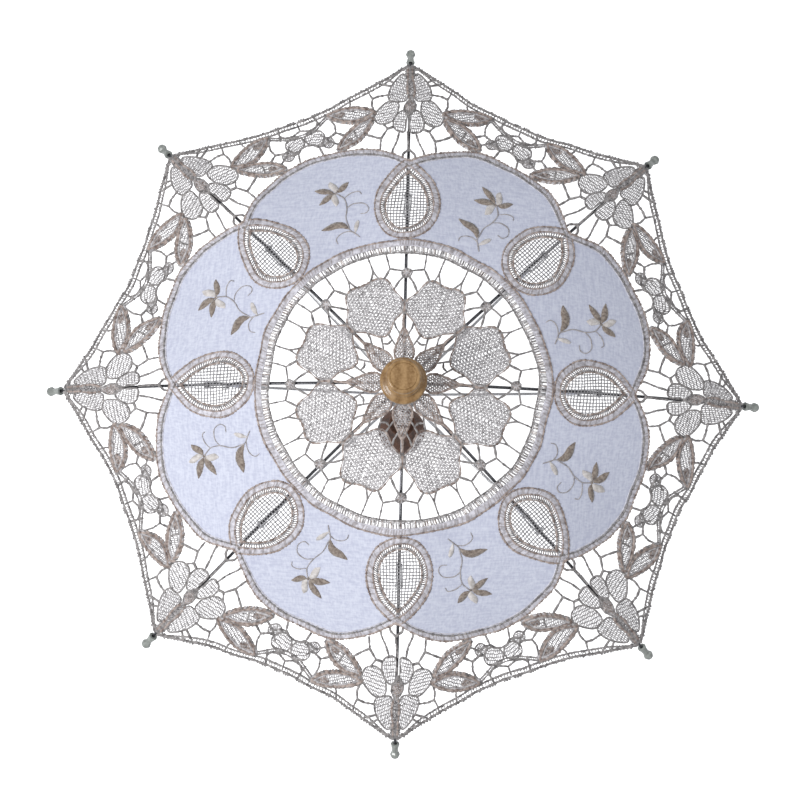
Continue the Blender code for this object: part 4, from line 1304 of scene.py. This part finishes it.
# ---------------------------------------------------------------- stage, light and camera

CAMERA_LENS = 114.8
CAMERA_DISTANCE = 1.5
CAMERA_ELEVATION = 84.3
CAMERA_ROLL = -1.3


def make_stage():
    """A white floor that glows more to the eye than onto the piece, and a soft white sky."""
    bpy.ops.mesh.primitive_plane_add(size=12, location=(0, 0, cad_low.z - 0.002))
    floor = bpy.context.object
    floor.name = "floor"
    material, tree, shader = blank_material("floor_white")
    set_inputs(shader, base_color=(0.85, 0.85, 0.86, 1), roughness=1.0, emission_color=(1, 1, 1, 1))
    shader.inputs["Specular IOR Level"].default_value = 0.0
    sight = tree.nodes.new("ShaderNodeLightPath")
    glow = range_node(tree, sight.outputs["Is Camera Ray"], to_min=0.25, to_max=0.8)
    tree.links.new(glow.outputs["Result"], shader.inputs["Emission Strength"])
    floor.data.materials.append(material)
    world = bpy.data.worlds.new("soft_white")
    bpy.context.scene.world = world
    world.use_nodes = True
    background = world.node_tree.nodes["Background"]
    set_inputs(background, color=(0.95, 0.97, 1, 1), strength=0.51)


def add_light(name, location, size, power):
    """A soft square lamp that faces the canopy."""
    light = bpy.data.lights.new(name, "AREA")
    light.size = size
    light.energy = power
    obj = bpy.data.objects.new(name, light)
    obj.location = location
    obj.rotation_euler = (Vector((0, 0, 0.2)) - Vector(location)).to_track_quat("-Z", "Y").to_euler()
    bpy.context.scene.collection.objects.link(obj)


def make_camera():
    """Almost straight above, leaning a little towards the front."""
    camera = bpy.data.cameras.new("camera")
    camera.lens = CAMERA_LENS
    camera.sensor_width = 36
    obj = bpy.data.objects.new("camera", camera)
    elevation = math.radians(CAMERA_ELEVATION)
    roll = math.radians(CAMERA_ROLL)
    target = Vector((-0.0017, -0.0004, 0.19))
    back = Vector((0, -math.cos(elevation), math.sin(elevation)))
    obj.location = target + back * CAMERA_DISTANCE
    look = (-back).to_track_quat("-Z", "Y").to_matrix()
    obj.rotation_euler = (look @ Matrix.Rotation(-roll, 3, "Z")).to_euler()
    bpy.context.scene.collection.objects.link(obj)
    bpy.context.scene.camera = obj


dress_frame()
make_canopy()
make_hub_lace()
make_ferrule()
make_handle()
make_stage()
add_light("key", (-0.8, -0.35, 1.3), size=0.45, power=15)
add_light("fill", (0.9, 0.5, 1.2), size=0.8, power=3)
make_camera()
bpy.context.scene.view_settings.view_transform = "Standard"
